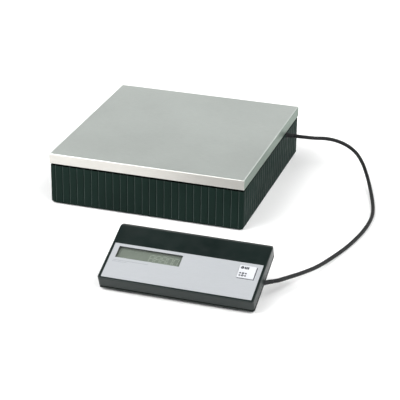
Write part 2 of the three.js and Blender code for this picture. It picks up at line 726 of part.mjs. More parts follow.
// The key's cap stands proud of the panel, and a flange keeps it under the shell.
function tareKey() {
  const ceiling = DISPLAY.thick - DISPLAY.wall;
  const top = DISPLAY.thick + KEY.proud;
  const flangeTop = ceiling - GAP;
  const cap = loft([
    [around(KEY, 0, 1.2), flangeTop - 0.5],
    [around(KEY, 0, 1.2), top - 0.4],
    [around(KEY, -0.4, 0.8), top],
  ]);
  const flange = prism(around(KEY, 1.5, 0.5), flangeTop - 1.2, flangeTop);
  const stemEnd = BOARD.top + SWITCH.height + KEY.travel + GAP;
  const stem = rod(2, (KEY.left + KEY.right) / 2, (KEY.front + KEY.rear) / 2, stemEnd, flangeTop - 1);
  place(tilted, 'tare_key', join(cap, flange, stem), KEY_FACE);
}

// ---- Display: batteries ----

// Two rows of two. The front row's springs are on the left, and the rear row's on the right.
function batteries() {
  const z = WEDGE.bottom + DOOR.slot + GAP + BATTERY.radius;
  const { radius, body: bodyLength, nub, nubR } = BATTERY;
  const profile = [
    [0, 0],
    [radius, 0],
    [radius, bodyLength],
    [nubR, bodyLength],
    [nubR, bodyLength + nub],
    [0, bodyLength + nub],
  ];
  const pitch = bodyLength + nub + GAP;
  BATTERY.rows.forEach((y, row) => {
    const toRight = row === 0 ? 1 : -1;
    const start = toRight > 0 ? BAY.left + 2 * GAP + SPRING.length : BAY.right - 2 * GAP - SPRING.length;
    for (let i = 0; i < 2; i += 1) {
      const cell = turned(profile).rotateY((toRight * Math.PI) / 2);
      place(level, `battery_${2 * row + i + 1}`, cell, BATTERY_JACKET, start + toRight * i * pitch, y, z);
    }
    const springEnd = toRight > 0 ? BAY.left + GAP : BAY.right - GAP;
    const plateEnd = toRight > 0 ? BAY.right - GAP - SPRING.plate : BAY.left + GAP;
    const spring = contactSpring().rotateY((toRight * Math.PI) / 2);
    place(level, `battery_spring_${row + 1}`, spring, ZINC_STEEL, springEnd, y, z);
    const plate = block(0, SPRING.plate, -5, 5, -5, 5);
    place(level, `battery_plate_${row + 1}`, plate, ZINC_STEEL, plateEnd, y, z);
  });
}

// A round wire coil on a thin plate, made along Z.
function contactSpring() {
  const perTurn = 10;
  const points = [];
  const low = SPRING.plate / 2;
  const high = SPRING.length - SPRING.wireR;
  for (let i = 0; i <= SPRING.turns * perTurn; i += 1) {
    const angle = (i / perTurn) * 2 * Math.PI;
    const share = i / (SPRING.turns * perTurn);
    points.push(new THREE.Vector3(
      SPRING.coilR * Math.cos(angle),
      SPRING.coilR * Math.sin(angle),
      low + share * (high - low),
    ));
  }
  const section = [];
  for (let i = 0; i < 6; i += 1) {
    const angle = (i / 6) * 2 * Math.PI;
    section.push(new THREE.Vector2(SPRING.wireR * Math.cos(angle), SPRING.wireR * Math.sin(angle)));
  }
  const winding = { steps: SPRING.turns * perTurn, extrudePath: new THREE.CatmullRomCurve3(points) };
  const coil = new THREE.ExtrudeGeometry(new THREE.Shape(section), winding);
  return join(block(-5, 5, -5, 5, 0, SPRING.plate), coil);
}

// ---- Display: where the cable enters ----

function cableBoot() {
  const { neck, tip, inner, outer } = BOOT;
  const profile = [[0, -inner], [neck, -inner], [neck, 4], [tip, outer], [0, outer]];
  place(level, 'display_cable_boot', alongBoot(turned(profile)), RUBBER);
  const spot = bootPlace();
  const direction = bootDirection();
  const start = spot.clone().addScaledVector(direction, -inner - GAP);
  const bend = spot.clone().addScaledVector(direction, -inner - 13);
  const route = [start.toArray(), bend.toArray(), [203, 28, 24.5], [194, 26.9, 23.9]];
  const lead = tube(route, CABLE.leadRadius, 8);
  place(level, 'display_lead', lead, CABLE_JACKET);
}

// The cable's route from the base to the display, resting on the table along most of it.
function mainCable() {
  const outOfGland = new THREE.Vector3(BASE.width / 2 + GLAND.length + GAP, GLAND.y, GLAND.z);
  const beyondBoot = (distance) =>
    DISPLAY_AT.clone().add(bootPlace()).addScaledVector(bootDirection(), BOOT.outer + distance).toArray();
  const route = [
    PLATFORM_AT.clone().add(outOfGland).toArray(),
    [140, 213.7, 62.8],
    [158.5, 223, 59.5],
    [178, 238, 55],
    [195.5, 249, 48],
    [211, 254.5, 39.5],
    [225, 252.5, 30.5],
    [238.5, 239.5, 21],
    [253.5, 210.5, 11.5],
    [269.5, 166, 5.5],
    [283, 120, 3.2],
    [290, 86.5, 3.2],
    [292, 58.5, 3.2],
    [290, 21.5, 3.2],
    [285, -11.5, 3.2],
    [277.5, -45, 3.2],
    [266.5, -83, 4],
    [253, -127, 7],
    [239, -168, 14],
    [224.5, -202.5, 20.5],
    beyondBoot(8),
    beyondBoot(GAP),
  ];
  place(scale, 'main_cable', tube(route, CABLE.radius), CABLE_JACKET);
}

weighingPan();
panCarrier();
baseShell();
baseFeet();
baseFrame();
loadCell();
cellFasteners();
baseGland();
innerLead();
topShell();
bottomShell();
batteryDoor();
caseScrews();
displayFeet();
frontPanel();
lcdParts();
circuitBoard();
tareKey();
batteries();
cableBoot();
mainCable();

export default scale;
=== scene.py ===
"""A parcel scale: a steel pan on a ribbed base with a load cell, and a display unit joined to it by a cable.

Shapes are drawn in millimetres in one of three frames and turned into metres when a piece is made:
  PLATFORM  the middle of the weighing platform, at table height
  SLAB      the display slab's front left bottom corner, with x right, y up the slope and z square to its face
  LEVEL     the same corner with its axes level
"""

import math

import bmesh
import bpy
from mathutils import Matrix, Vector


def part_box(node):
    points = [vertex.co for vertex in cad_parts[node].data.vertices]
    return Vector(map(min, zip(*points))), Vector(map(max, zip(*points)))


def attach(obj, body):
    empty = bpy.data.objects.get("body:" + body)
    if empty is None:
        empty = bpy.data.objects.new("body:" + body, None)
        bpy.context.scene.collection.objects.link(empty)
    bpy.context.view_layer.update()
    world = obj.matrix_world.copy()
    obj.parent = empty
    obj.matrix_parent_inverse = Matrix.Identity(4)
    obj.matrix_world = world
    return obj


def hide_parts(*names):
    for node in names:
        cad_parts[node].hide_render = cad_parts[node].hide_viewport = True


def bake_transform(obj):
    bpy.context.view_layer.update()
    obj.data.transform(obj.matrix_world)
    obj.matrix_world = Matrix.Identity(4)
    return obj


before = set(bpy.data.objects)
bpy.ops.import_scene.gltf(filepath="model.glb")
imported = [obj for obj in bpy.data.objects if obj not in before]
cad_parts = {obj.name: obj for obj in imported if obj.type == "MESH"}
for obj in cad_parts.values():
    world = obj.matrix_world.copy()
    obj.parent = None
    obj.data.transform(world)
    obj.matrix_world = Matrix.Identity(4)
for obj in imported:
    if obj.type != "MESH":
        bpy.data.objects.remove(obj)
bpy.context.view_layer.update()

MM = 0.001

# ---- Sizes, in millimetres, as in the CAD source ----

PAN = {"width": 318, "depth": 327, "top": 85.6, "skirt": 16.6, "sheet": 1.2, "corner": 1.2, "bend": 2.2}
BASE = {"width": 316.8, "depth": 325.8, "bottom": 2, "plinth": 2, "rib_top": 66, "rim_top": 75, "wall": 3,
        "floor": 3, "corner": 4, "plinth_inset": 1.2, "rim_inset": 4.5, "rim_wall": 2.5}
GROOVE = {"pitch": 12, "half_width": 1.0, "depth": 1.1, "end_margin": 7}
FLOOR_RIBS = {"height": 4, "half_width": 1, "x": 141, "y": 105}
FRAME_SCREW = {"x": 100, "y": 76, "boss_radius": 7, "boss_top": 9.7, "hole_radius": 2.8}
FOOT = {"x": 128, "y": 132, "radius": 12, "stem": 3, "top": 9}
CARRIER_BOTTOM, CARRIER_TOP = 67, 75.6
PAD = {"x": 118, "y": 118, "radius": 12, "stem": 3.5}
GLAND = {"y": 87, "z": 63, "neck": 3.9, "flange": 4.8, "flange_thick": 1.6, "sleeve": 3.8, "tip": 3.4,
         "length": 12}
SLAB_SIZE = {"width": 228.6, "depth": 109.5, "thick": 22.1, "corner": 4, "edge": 1.2, "rear_slope": 5,
             "rear_drop": 2.4, "wall": 2.2, "split": 5}
# The groove where the cases meet: how far in it goes, and how far it reaches below and above the parting.
PARTING = {"depth": 1.2, "below": 0.9, "above": 1.0, "chamfer": 0.2}
TILT = math.radians(21.5)
PANEL = {"left": 4.3, "right": 224.9, "front": 3.5, "rear": 69.3, "recess": 0.7, "thick": 0.5}
LCD = {"left": 12.6, "right": 108.2, "front": 42.4, "rear": 63.9}
KEY = {"left": 192.6, "right": 216.9, "front": 40.4, "rear": 63.1, "proud": 0.9}
WEDGE = {"left": 14, "right": 214.6, "front": 46, "rear": 97, "bottom": -0.5, "wall": 2}
BOARD_TOP = 10
BOARD_POSTS = [(x, y) for x in (120, 178) for y in (34, 64)]
BAY = (55, 164.4)
BATTERY = {"radius": 7.25, "body": 49.2, "nub_radius": 2.75, "nub": 1.3}
SPRING = {"turns": 4, "steps": 80, "reach": 3.3, "taper": 0.9, "wire": 0.4, "plate": 0.6, "plate_half": 5}
CASE_SCREW = {"inset": 9, "radius": 1.25, "head": 2.8, "boss_radius": 3.5, "seat": 2.1}
LENS_THICK = 1.2
GLASS = {"front": 36, "rear": 66, "thick": 3.6}
DIGIT = {"height": 13, "pitch": 9, "first": 60, "front": 3.8, "ink": 0.02}
BOOT = {"depth_at": 52.9, "height_at": 4.6, "heading": math.radians(46), "droop": 0.08, "neck": 3.4,
        "tip": 3.15, "inner": 10, "outer": 14}
CABLE_RADIUS = 3
GAP = 0.3
CORNERS = [(-1, -1), (1, -1), (1, 1), (-1, 1)]

pan_low, pan_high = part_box("weighing_pan")
slab_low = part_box("display_top_shell")[0]
PLATFORM_AT = Vector(((pan_low.x + pan_high.x) / 2, (pan_low.y + pan_high.y) / 2, 0))
DISPLAY_AT = Vector((
    slab_low.x,
    slab_low.y + ((SLAB_SIZE["thick"] - SLAB_SIZE["edge"]) * math.sin(TILT)
                  + SLAB_SIZE["edge"] * (1 - math.cos(TILT))) * MM,
    0.002,
))
PLATFORM = Matrix.Translation(PLATFORM_AT)
LEVEL = Matrix.Translation(DISPLAY_AT)
SLAB = LEVEL @ Matrix.Rotation(TILT, 4, "X")
WORLD = Matrix.Identity(4)


# ---- Camera ----

CAMERA = {"lens": 136.5, "at": (0.6807, -2.0456, 1.0144), "heading": 17.56, "down": 24.76, "roll": 0.7}


def make_camera():
    data = bpy.data.cameras.new("camera")
    data.lens = CAMERA["lens"]
    data.sensor_width = 36
    data.clip_start = 0.05
    data.clip_end = 50
    camera = bpy.data.objects.new("camera", data)
    bpy.context.scene.collection.objects.link(camera)
    heading = Matrix.Rotation(math.radians(CAMERA["heading"]), 4, "Z")
    pitch = Matrix.Rotation(math.radians(90 - CAMERA["down"]), 4, "X")
    roll = Matrix.Rotation(math.radians(CAMERA["roll"]), 4, "Z")
    camera.matrix_world = Matrix.Translation(CAMERA["at"]) @ heading @ pitch @ roll
    bpy.context.scene.camera = camera


make_camera()


# ---- Shape helpers ----

def new_piece(name, bm, place, scale=MM):
    """A mesh object at the world's origin from a bmesh drawn in millimetres in the frame that place gives."""
    bmesh.ops.recalc_face_normals(bm, faces=bm.faces)
    bm.transform(place @ Matrix.Scale(scale, 4))
    mesh = bpy.data.meshes.new(name)
    bm.to_mesh(mesh)
    bm.free()
    piece = bpy.data.objects.new(name, mesh)
    bpy.context.scene.collection.objects.link(piece)
    return piece


def apply_modifiers(piece):
    graph = bpy.context.evaluated_depsgraph_get()
    mesh = bpy.data.meshes.new_from_object(piece.evaluated_get(graph), depsgraph=graph)
    piece.modifiers.clear()
    old = piece.data
    piece.data = mesh
    mesh.name = piece.name
    bpy.data.meshes.remove(old)


def combine(piece, operation, tools):
    for tool in tools:
        modifier = piece.modifiers.new("tool", "BOOLEAN")
        modifier.operation = operation
        modifier.solver = "EXACT"
        modifier.object = tool
    apply_modifiers(piece)
    for tool in tools:
        mesh = tool.data
        bpy.data.objects.remove(tool)
        bpy.data.meshes.remove(mesh)
    return piece


def cut(piece, *tools):
    return combine(piece, "DIFFERENCE", tools)


def join(piece, *tools):
    return combine(piece, "UNION", tools)


def tools_in(place, *parts):
    """Bmeshes drawn in the frame that place gives, as pieces to cut or join with."""
    return [new_piece("tool", part, place) for part in parts]


def round_edges(piece, width, segments=2):
    """Rounds every sharp edge, after flat faces that a cut split up are made whole."""
    bm = bmesh.new()
    bm.from_mesh(piece.data)
    bmesh.ops.remove_doubles(bm, verts=bm.verts, dist=1e-6)
    bmesh.ops.dissolve_limit(bm, angle_limit=math.radians(0.5), verts=bm.verts, edges=bm.edges)
    bm.to_mesh(piece.data)
    bm.free()
    modifier = piece.modifiers.new("rounding", "BEVEL")
    modifier.width = width * MM
    modifier.segments = segments
    modifier.limit_method = "ANGLE"
    modifier.angle_limit = math.radians(35)
    modifier.use_clamp_overlap = True
    apply_modifiers(piece)
    return piece


def dress(piece, body, material, nodes=(), smooth=32):
    """Shades the piece, gives it its material and body, and lets it stand for the CAD nodes."""
    mesh = piece.data
    mesh.materials.clear()
    mesh.materials.append(material)
    mesh.shade_smooth()
    mesh.set_sharp_from_angle(angle=math.radians(smooth))
    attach(piece, body)
    if nodes:
        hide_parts(*nodes)
    return piece


def paint_shade_band(piece, place, low, high, material):
    """Paints shade, with a dark material, on the faces between two heights, in the frame that the piece was
    drawn in.
    """
    piece.data.materials.append(material)
    number = len(piece.data.materials) - 1
    to_drawing = place.inverted()
    for face in piece.data.polygons:
        if low < (to_drawing @ face.center).z / MM < high:
            face.material_index = number


def outline(x0, x1, y0, y1, radius, steps=6, grooved=False):
    """A rectangle with round corners, counterclockwise, with grooves down its sides if asked."""
    sides = [((x0, y0), (1, 0), x1 - x0), ((x1, y0), (0, 1), y1 - y0),
             ((x1, y1), (-1, 0), x1 - x0), ((x0, y1), (0, -1), y1 - y0)]
    points = []
    for start, direction, length in sides:
        start, along = Vector(start), Vector(direction)
        inward = Vector((-along.y, along.x))
        centre = start + (along + inward) * radius
        for i in range(steps + 1):
            angle = i / steps * math.pi / 2
            points.append(centre - along * radius * math.cos(angle) - inward * radius * math.sin(angle))
        if grooved:
            points += groove_points(start, along, inward, length)
    return points


def groove_points(start, along, inward, length):
    """The grooves along one side, each a V with soft lips. The first is found from the middle of the side."""
    half, depth = GROOVE["half_width"], GROOVE["depth"]
    left_lip = [(-half - 0.15, 0), (-half, 0.05), (-half + 0.15, 0.2), (-0.1, depth - 0.03)]
    section = left_lip + [(-step, deep) for step, deep in reversed(left_lip)]
    count = int((length - 2 * GROOVE["end_margin"]) / GROOVE["pitch"]) + 1
    first = (length - (count - 1) * GROOVE["pitch"]) / 2
    points = []
    for i in range(count):
        middle = first + i * GROOVE["pitch"]
        points += [start + along * (middle + step) + inward * deep for step, deep in section]
    return points


def around(place, margin, radius):
    """The outline of a place on the slab, such as the window or the key, let out by a margin."""
    return outline(place["left"] - margin, place["right"] + margin, place["front"] - margin,
                   place["rear"] + margin, radius)


def centred(width, depth, inset, radius, steps=6):
    return outline(inset - width / 2, width / 2 - inset, inset - depth / 2, depth / 2 - inset, radius, steps)


def grooved_outline(inset):
    """The ribbed wall's outline, drawn in by an inset smaller than its corners."""
    half_w, half_d = BASE["width"] / 2, BASE["depth"] / 2
    points = outline(-half_w, half_w, -half_d, half_d, BASE["corner"], 6, True)
    shrink_x, shrink_y = 1 - inset / half_w, 1 - inset / half_d
    return [Vector((p.x * shrink_x, p.y * shrink_y)) for p in points]


def loft(sections):
    """A closed skin through outlines with the same number of points, given as (points, height) pairs."""
    bm = bmesh.new()
    rings = [[bm.verts.new((p.x, p.y, z)) for p in points] for points, z in sections]
    bridge(bm, rings)
    bm.faces.new(reversed(rings[0]))
    bm.faces.new(rings[-1])
    return bm


def bridge(bm, rings):
    """Faces between each ring of vertices and the next."""
    for low, high in zip(rings, rings[1:]):
        count = len(low)
        for i in range(count):
            j = (i + 1) % count
            bm.faces.new((low[i], low[j], high[j], high[i]))


def prism(points, z0, z1):
    return loft([(points, z0), (points, z1)])


def block(x0, x1, y0, y1, z0, z1):
    corners = [Vector(p) for p in ((x0, y0), (x1, y0), (x1, y1), (x0, y1))]
    return prism(corners, z0, z1)


def circle(radius, x=0, y=0, sides=48):
    turn = 2 * math.pi / sides
    return [Vector((x + radius * math.cos(i * turn), y + radius * math.sin(i * turn))) for i in range(sides)]


def rod(radius, x, y, z0, z1, sides=48):
    return prism(circle(radius, x, y, sides), z0, z1)


def turned(profile, sides=48):
    """A turned form about z from (radius, height) pairs that start and end on the axis."""
    bm = bmesh.new()
    rings = []
    for radius, z in profile:
        if radius == 0:
            rings.append([bm.verts.new((0, 0, z))])
        else:
            rings.append([bm.verts.new((p.x, p.y, z)) for p in circle(radius, sides=sides)])
    for low, high in zip(rings, rings[1:]):
        for i in range(sides):
            j = (i + 1) % sides
            if len(low) == 1:
                bm.faces.new((low[0], high[j], high[i]))
            elif len(high) == 1:
                bm.faces.new((low[i], low[j], high[0]))
            else:
                bm.faces.new((low[i], low[j], high[j], high[i]))
    return bm


def bar_along_x(section, x0, x1):
    """A bar along x whose section is given as (y, z) pairs."""
    bm = prism([Vector(p) for p in section], x0, x1)
    bm.transform(Matrix(((0, 0, 1, 0), (1, 0, 0, 0), (0, 1, 0, 0), (0, 0, 0, 1))))
    return bm


def along_x(spot, towards_right=True):
    """The frame at a spot, in metres, with its z along x, or against it."""
    return Matrix.Translation(spot) @ Matrix.Rotation(math.pi / 2 if towards_right else -math.pi / 2, 4, "Y")


def smooth_path(points, spacing):
    """Points at most a spacing apart on the centripetal Catmull-Rom curve through the given ones."""
    points = [Vector(p) for p in points]
    points = [2 * points[0] - points[1], *points, 2 * points[-1] - points[-2]]
    fine = []
    for a, b, c, d in zip(points, points[1:], points[2:], points[3:]):
        t1 = (b - a).length ** 0.5
        t2 = t1 + (c - b).length ** 0.5
        t3 = t2 + (d - c).length ** 0.5
        steps = 24
        for i in range(steps):
            t = t1 + (t2 - t1) * i / steps
            ab = a.lerp(b, t / t1)
            bc = b.lerp(c, (t - t1) / (t2 - t1))
            cd = c.lerp(d, (t - t2) / (t3 - t2))
            abc = ab.lerp(bc, t / t2)
            bcd = bc.lerp(cd, (t - t1) / (t3 - t1))
            fine.append(abc.lerp(bcd, (t - t1) / (t2 - t1)))
    fine.append(points[-2])
    return evenly_spaced(fine, spacing)


def evenly_spaced(line, spacing):
    lengths = [0.0]
    for a, b in zip(line, line[1:]):
        lengths.append(lengths[-1] + (b - a).length)
    count = math.ceil(lengths[-1] / spacing)
    even, k = [], 0
    for i in range(count + 1):
        target = lengths[-1] * i / count
        while k < len(line) - 2 and lengths[k + 1] < target:
            k += 1
        share = (target - lengths[k]) / (lengths[k + 1] - lengths[k])
        even.append(line[k].lerp(line[k + 1], share))
    return even


def tube(path, radius, sides=20):
    """A tube with closed ends round a path, without twist."""
    bm = bmesh.new()
    rings = []
    side = None
    for i, point in enumerate(path):
        ahead = (path[min(i + 1, len(path) - 1)] - path[max(i - 1, 0)]).normalized()
        side = (Vector((0, 0, 1)) if side is None else side)
        side = (side - ahead * side.dot(ahead)).normalized()
        up = ahead.cross(side)
        turn = 2 * math.pi / sides
        rings.append([bm.verts.new(point + (side * math.cos(k * turn) + up * math.sin(k * turn)) * radius)
                      for k in range(sides)])
    bridge(bm, rings)
    bm.faces.new(reversed(rings[0]))
    bm.faces.new(rings[-1])
    return bm


def fillet(radius, steps, start, x, z):
    """(x, z) points on a quarter turn of a radius about a centre, from an angle given in degrees."""
    points = []
    for i in range(steps + 1):
        angle = math.radians(start + 90 * i / steps)
        points.append((x + radius * math.cos(angle), z + radius * math.sin(angle)))
    return points


# ---- Materials ----

class Nodes:
    """A material's node tree, with short calls for the nodes that the finishes share."""

    def __init__(self, name, colour, roughness, metallic):
        self.material = bpy.data.materials.new(name)
        self.material.use_nodes = True
        self.tree = self.material.node_tree
        self.shader = self.tree.nodes["Principled BSDF"]
        self.shader.inputs["Base Color"].default_value = (*colour, 1)
        self.shader.inputs["Roughness"].default_value = roughness
        self.shader.inputs["Metallic"].default_value = metallic
        self.roughness = roughness
        self.where = self.tree.nodes.new("ShaderNodeTexCoord").outputs["Object"]

    def link(self, source, target):
        self.tree.links.new(source, target)

    def noise(self, scale, detail, stretch=None):
        """Noise from 0 to 1. Scale is in features to the metre, and stretch multiplies it along each axis."""
        node = self.tree.nodes.new("ShaderNodeTexNoise")
        node.inputs["Scale"].default_value = scale
        node.inputs["Detail"].default_value = detail
        if stretch is None:
            self.link(self.where, node.inputs["Vector"])
        else:
            mapping = self.tree.nodes.new("ShaderNodeMapping")
            mapping.inputs["Scale"].default_value = stretch
            self.link(self.where, mapping.inputs["Vector"])
            self.link(mapping.outputs["Vector"], node.inputs["Vector"])
        return node.outputs["Fac"]

    def spread(self, source, low, high, to_low=0.0, to_high=1.0):
        node = self.tree.nodes.new("ShaderNodeMapRange")
        node.inputs["From Min"].default_value = low
        node.inputs["From Max"].default_value = high
        node.inputs["To Min"].default_value = to_low
        node.inputs["To Max"].default_value = to_high
        self.link(source, node.inputs["Value"])
        return node.outputs["Result"]

    def times(self, a, b):
        node = self.tree.nodes.new("ShaderNodeMath")
        node.operation = "MULTIPLY"
        self.link(a, node.inputs[0])
        if isinstance(b, float):
            node.inputs[1].default_value = b
        else:
            self.link(b, node.inputs[1])
        return node.outputs["Value"]

    def blend(self, share, a, b):
        """Colour a where the share is 0 and b where it is 1. Each is a colour or a socket."""
        node = self.tree.nodes.new("ShaderNodeMix")
        node.data_type = "RGBA"
        self.link(share, node.inputs["Factor"])
        for value, socket in ((a, node.inputs["A"]), (b, node.inputs["B"])):
            if isinstance(value, bpy.types.NodeSocket):
                self.link(value, socket)
            else:
                socket.default_value = (*value, 1)
        return node.outputs["Result"]

    def multiply(self, a, b):
        """Two colours multiplied."""
        node = self.tree.nodes.new("ShaderNodeMix")
        node.data_type = "RGBA"
        node.blend_type = "MULTIPLY"
        node.inputs["Factor"].default_value = 1.0
        self.link(a, node.inputs["A"])
        self.link(b, node.inputs["B"])
        return node.outputs["Result"]

    def edges(self, radius):
        """1 along sharp edges, fading to 0 about a radius away, in millimetres."""
        bevel = self.tree.nodes.new("ShaderNodeBevel")
        bevel.samples = 6
        bevel.inputs["Radius"].default_value = radius * MM
        geometry = self.tree.nodes.new("ShaderNodeNewGeometry")
        dot = self.tree.nodes.new("ShaderNodeVectorMath")
        dot.operation = "DOT_PRODUCT"
        self.link(bevel.outputs["Normal"], dot.inputs[0])
        self.link(geometry.outputs["Normal"], dot.inputs[1])
        return self.spread(dot.outputs["Value"], 0.99, 0.75)

    def paint(self, socket):
        self.link(socket, self.shader.inputs["Base Color"])

    def polish(self, source, spread):
        """Roughness a spread either side of the material's own, following a noise."""
        self.link(self.spread(source, 0.3, 0.7, self.roughness - spread, self.roughness + spread),
                  self.shader.inputs["Roughness"])

    def bump(self, heights):
        """Bumps one after another. Each is a source and its height in millimetres."""
        normal = None
        for source, height in heights:
            node = self.tree.nodes.new("ShaderNodeBump")
            node.inputs["Strength"].default_value = 1.0
            node.inputs["Distance"].default_value = height * MM
            self.link(source, node.inputs["Height"])
            if normal is not None:
                self.link(normal, node.inputs["Normal"])
            normal = node.outputs["Normal"]
        self.link(normal, self.shader.inputs["Normal"])


def shade(colour, factor):
    return tuple(min(1.0, channel * factor) for channel in colour)


def brushed_metal(name, colour, roughness, fine, direction, depth, metallic=1.0):
    """Sheet metal with a long fine grain, soft patches of polish, and edges made brighter by rubbed wear and
    a painted highlight.
    """
    nodes = Nodes(name, colour, roughness, metallic)
    grain = nodes.noise(fine, 2, direction)
    long_grain = nodes.noise(fine / 6, 2, direction)
    patches = nodes.noise(9, 2)
    tone = nodes.blend(nodes.spread(grain, 0.35, 0.65), shade(colour, 0.96), shade(colour, 1.03))
    tone = nodes.blend(nodes.spread(patches, 0.3, 0.7, 0.0, 0.2), tone, shade(colour, 0.93))
    # Lighter along the edges: partly rubbed wear, partly a painted highlight.
    nodes.paint(nodes.blend(nodes.times(nodes.edges(0.6), 0.5), tone, shade(colour, 1.2)))
    nodes.polish(nodes.noise(12, 3), 0.02)
    nodes.bump([(grain, depth), (long_grain, depth)])
    return nodes.material


def folded_steel(name, top, front, side, roughness):
    """Brushed sheet with its own tone on top, a painted warm light tone on the front and rear skirts, and
    painted shade on the sides and along the folds.
    """
    nodes = Nodes(name, top, roughness, 1.0)
    facing = nodes.tree.nodes.new("ShaderNodeSeparateXYZ")
    nodes.link(nodes.tree.nodes["Texture Coordinate"].outputs["Normal"], facing.inputs["Vector"])
    grain = nodes.noise(90, 2, (1, 40, 40))
    long_grain = nodes.noise(15, 2, (1, 40, 40))
    patches = nodes.noise(9, 2)
    # Painted light: faces turned to the sides take the painted shade tone, and faces turned to the front or
    # rear a painted warm light tone.
    side_shade_mask = nodes.spread(nodes.times(facing.outputs["X"], facing.outputs["X"]), 0.3, 0.8)
    front_light_mask = nodes.spread(nodes.times(facing.outputs["Y"], facing.outputs["Y"]), 0.3, 0.8)
    tone = nodes.blend(side_shade_mask, nodes.blend(front_light_mask, top, front), side)
    fine = nodes.blend(nodes.spread(grain, 0.35, 0.65), (0.9, 0.9, 0.9), (1, 1, 1))
    cloud = nodes.blend(nodes.spread(patches, 0.3, 0.7), (0.93, 0.93, 0.93), (1, 1, 1))
    # Painted shade along the folds, which dims their highlight.
    tone = nodes.blend(nodes.times(nodes.edges(1.2), 0.5), tone, side)
    nodes.paint(nodes.multiply(nodes.multiply(tone, fine), cloud))
    nodes.polish(nodes.noise(12, 3), 0.02)
    nodes.bump([(grain, 0.004), (long_grain, 0.003)])
    return nodes.material


def moulded_plastic(name, colour, roughness, grain_height, worn_and_highlit_edge, wear_and_highlight_range, specular):
    """Moulded plastic with a fine grain, faint clouding and edges made lighter, by a range: partly rubbed
    wear, partly a painted highlight on the bevels.
    """
    nodes = Nodes(name, colour, roughness, 0.0)
    clouds = nodes.noise(14, 4)
    grain = nodes.noise(2000, 2)
    tone = nodes.blend(nodes.spread(clouds, 0.3, 0.7), shade(colour, 0.86), shade(colour, 1.14))
    tone = nodes.blend(nodes.spread(grain, 0.35, 0.7, 0.0, 0.35), tone, shade(colour, 1.3))
    # Lighter edges: partly wear, partly a painted highlight on the bevels.
    rubbed_and_highlit_edges = nodes.times(nodes.edges(0.7), nodes.spread(nodes.noise(160, 3), 0.35, 0.65, *wear_and_highlight_range))
    nodes.paint(nodes.blend(rubbed_and_highlit_edges, tone, worn_and_highlit_edge))
    nodes.polish(nodes.noise(60, 4), 0.06)
    nodes.bump([(grain, grain_height)])
    nodes.shader.inputs["Specular IOR Level"].default_value = specular
    return nodes.material


def cast_metal(name, colour, roughness):
    """Cast or plated metal with a sandy skin and rubbed edges."""
    nodes = Nodes(name, colour, roughness, 1.0)
    sand = nodes.noise(1400, 3)
    lumps = nodes.noise(240, 3)
    tone = nodes.blend(nodes.spread(lumps, 0.3, 0.7), shade(colour, 0.85), shade(colour, 1.1))
    nodes.paint(nodes.blend(nodes.times(nodes.edges(0.8), 0.6), tone, shade(colour, 1.35)))
    nodes.polish(lumps, 0.08)
    nodes.bump([(lumps, 0.03), (sand, 0.02)])
    return nodes.material


def rubber_skin(name, colour, roughness, bloom):
    """Rubber or soft PVC: even and dull, with a pale bloom in patches and scuffed edges."""
    nodes = Nodes(name, colour, roughness, 0.0)
    specks = nodes.noise(900, 3)
    patches = nodes.noise(45, 4)
    tone = nodes.blend(nodes.spread(specks, 0.3, 0.7), shade(colour, 0.85), shade(colour, 1.2))
    tone = nodes.blend(nodes.spread(patches, 0.5, 0.75, 0.0, 0.5), tone, bloom)
    nodes.paint(nodes.blend(nodes.times(nodes.edges(0.5), 0.4), tone, bloom))
    nodes.polish(patches, 0.05)
    nodes.bump([(specks, 0.008), (patches, 0.02)])
    nodes.shader.inputs["Specular IOR Level"].default_value = 0.22
    return nodes.material


def display_glass(name, colour):
    """The faces of the LCD: soft and even, with a faint mottle and slightly darker clouds."""
    nodes = Nodes(name, colour, 0.35, 0.0)
    mottle = nodes.noise(500, 2)
    clouds = nodes.noise(25, 3)
    tone = nodes.blend(nodes.spread(mottle, 0.35, 0.65), shade(colour, 0.97), shade(colour, 1.03))
    nodes.paint(nodes.blend(nodes.spread(clouds, 0.3, 0.7, 0.0, 0.5), tone, shade(colour, 0.88)))
    nodes.polish(clouds, 0.05)
    nodes.bump([(mottle, 0.002)])
    return nodes.material


def clear_plastic(name, colour):
    """A thin clear window: it is mostly seen through, with its gloss on top."""
    nodes = Nodes(name, colour, 0.06, 0.0)
    nodes.paint(nodes.blend(nodes.noise(30, 2), shade(colour, 0.96), colour))
    nodes.polish(nodes.noise(90, 3), 0.03)
    nodes.shader.inputs["Alpha"].default_value = 0.1
    nodes.bump([(nodes.noise(60, 1), 0.003)])
    return nodes.material


def circuit_lacquer(name, colour):
    """Green lacquer over copper tracks that run in both directions."""
    nodes = Nodes(name, colour, 0.35, 0.0)
    tracks = nodes.noise(260, 0, (1, 0.2, 1))
    crossing = nodes.noise(260, 0, (0.2, 1, 1))
    copper = nodes.times(nodes.spread(tracks, 0.52, 0.54), nodes.spread(crossing, 0.46, 0.48))
    nodes.paint(nodes.blend(copper, colour, shade(colour, 1.9)))
    nodes.polish(nodes.noise(80, 3), 0.05)
    nodes.bump([(copper, 0.03)])
    return nodes.material


# Painted light in the steel: the second tone is a painted warm light for the front and rear skirts, and the
# third is painted shade for the sides and folds.
STEEL = folded_steel("brushed_stainless", (0.69, 0.73, 0.7), (0.65, 0.635, 0.6), (0.2, 0.25, 0.215), 0.5)
ZINC = cast_metal("zinc_plate", (0.55, 0.56, 0.55), 0.35)
CAST = cast_metal("cast_aluminium", (0.5, 0.51, 0.52), 0.5)
MACHINED = brushed_metal("machined_aluminium", (0.72, 0.73, 0.74), 0.3, 160, (1, 30, 30), 0.006)
RIBBED = moulded_plastic(
    "ribbed_plastic", (0.0075, 0.016, 0.013), 0.55, 0.02, (0.05, 0.06, 0.058), (0.3, 0.8), 0.03)
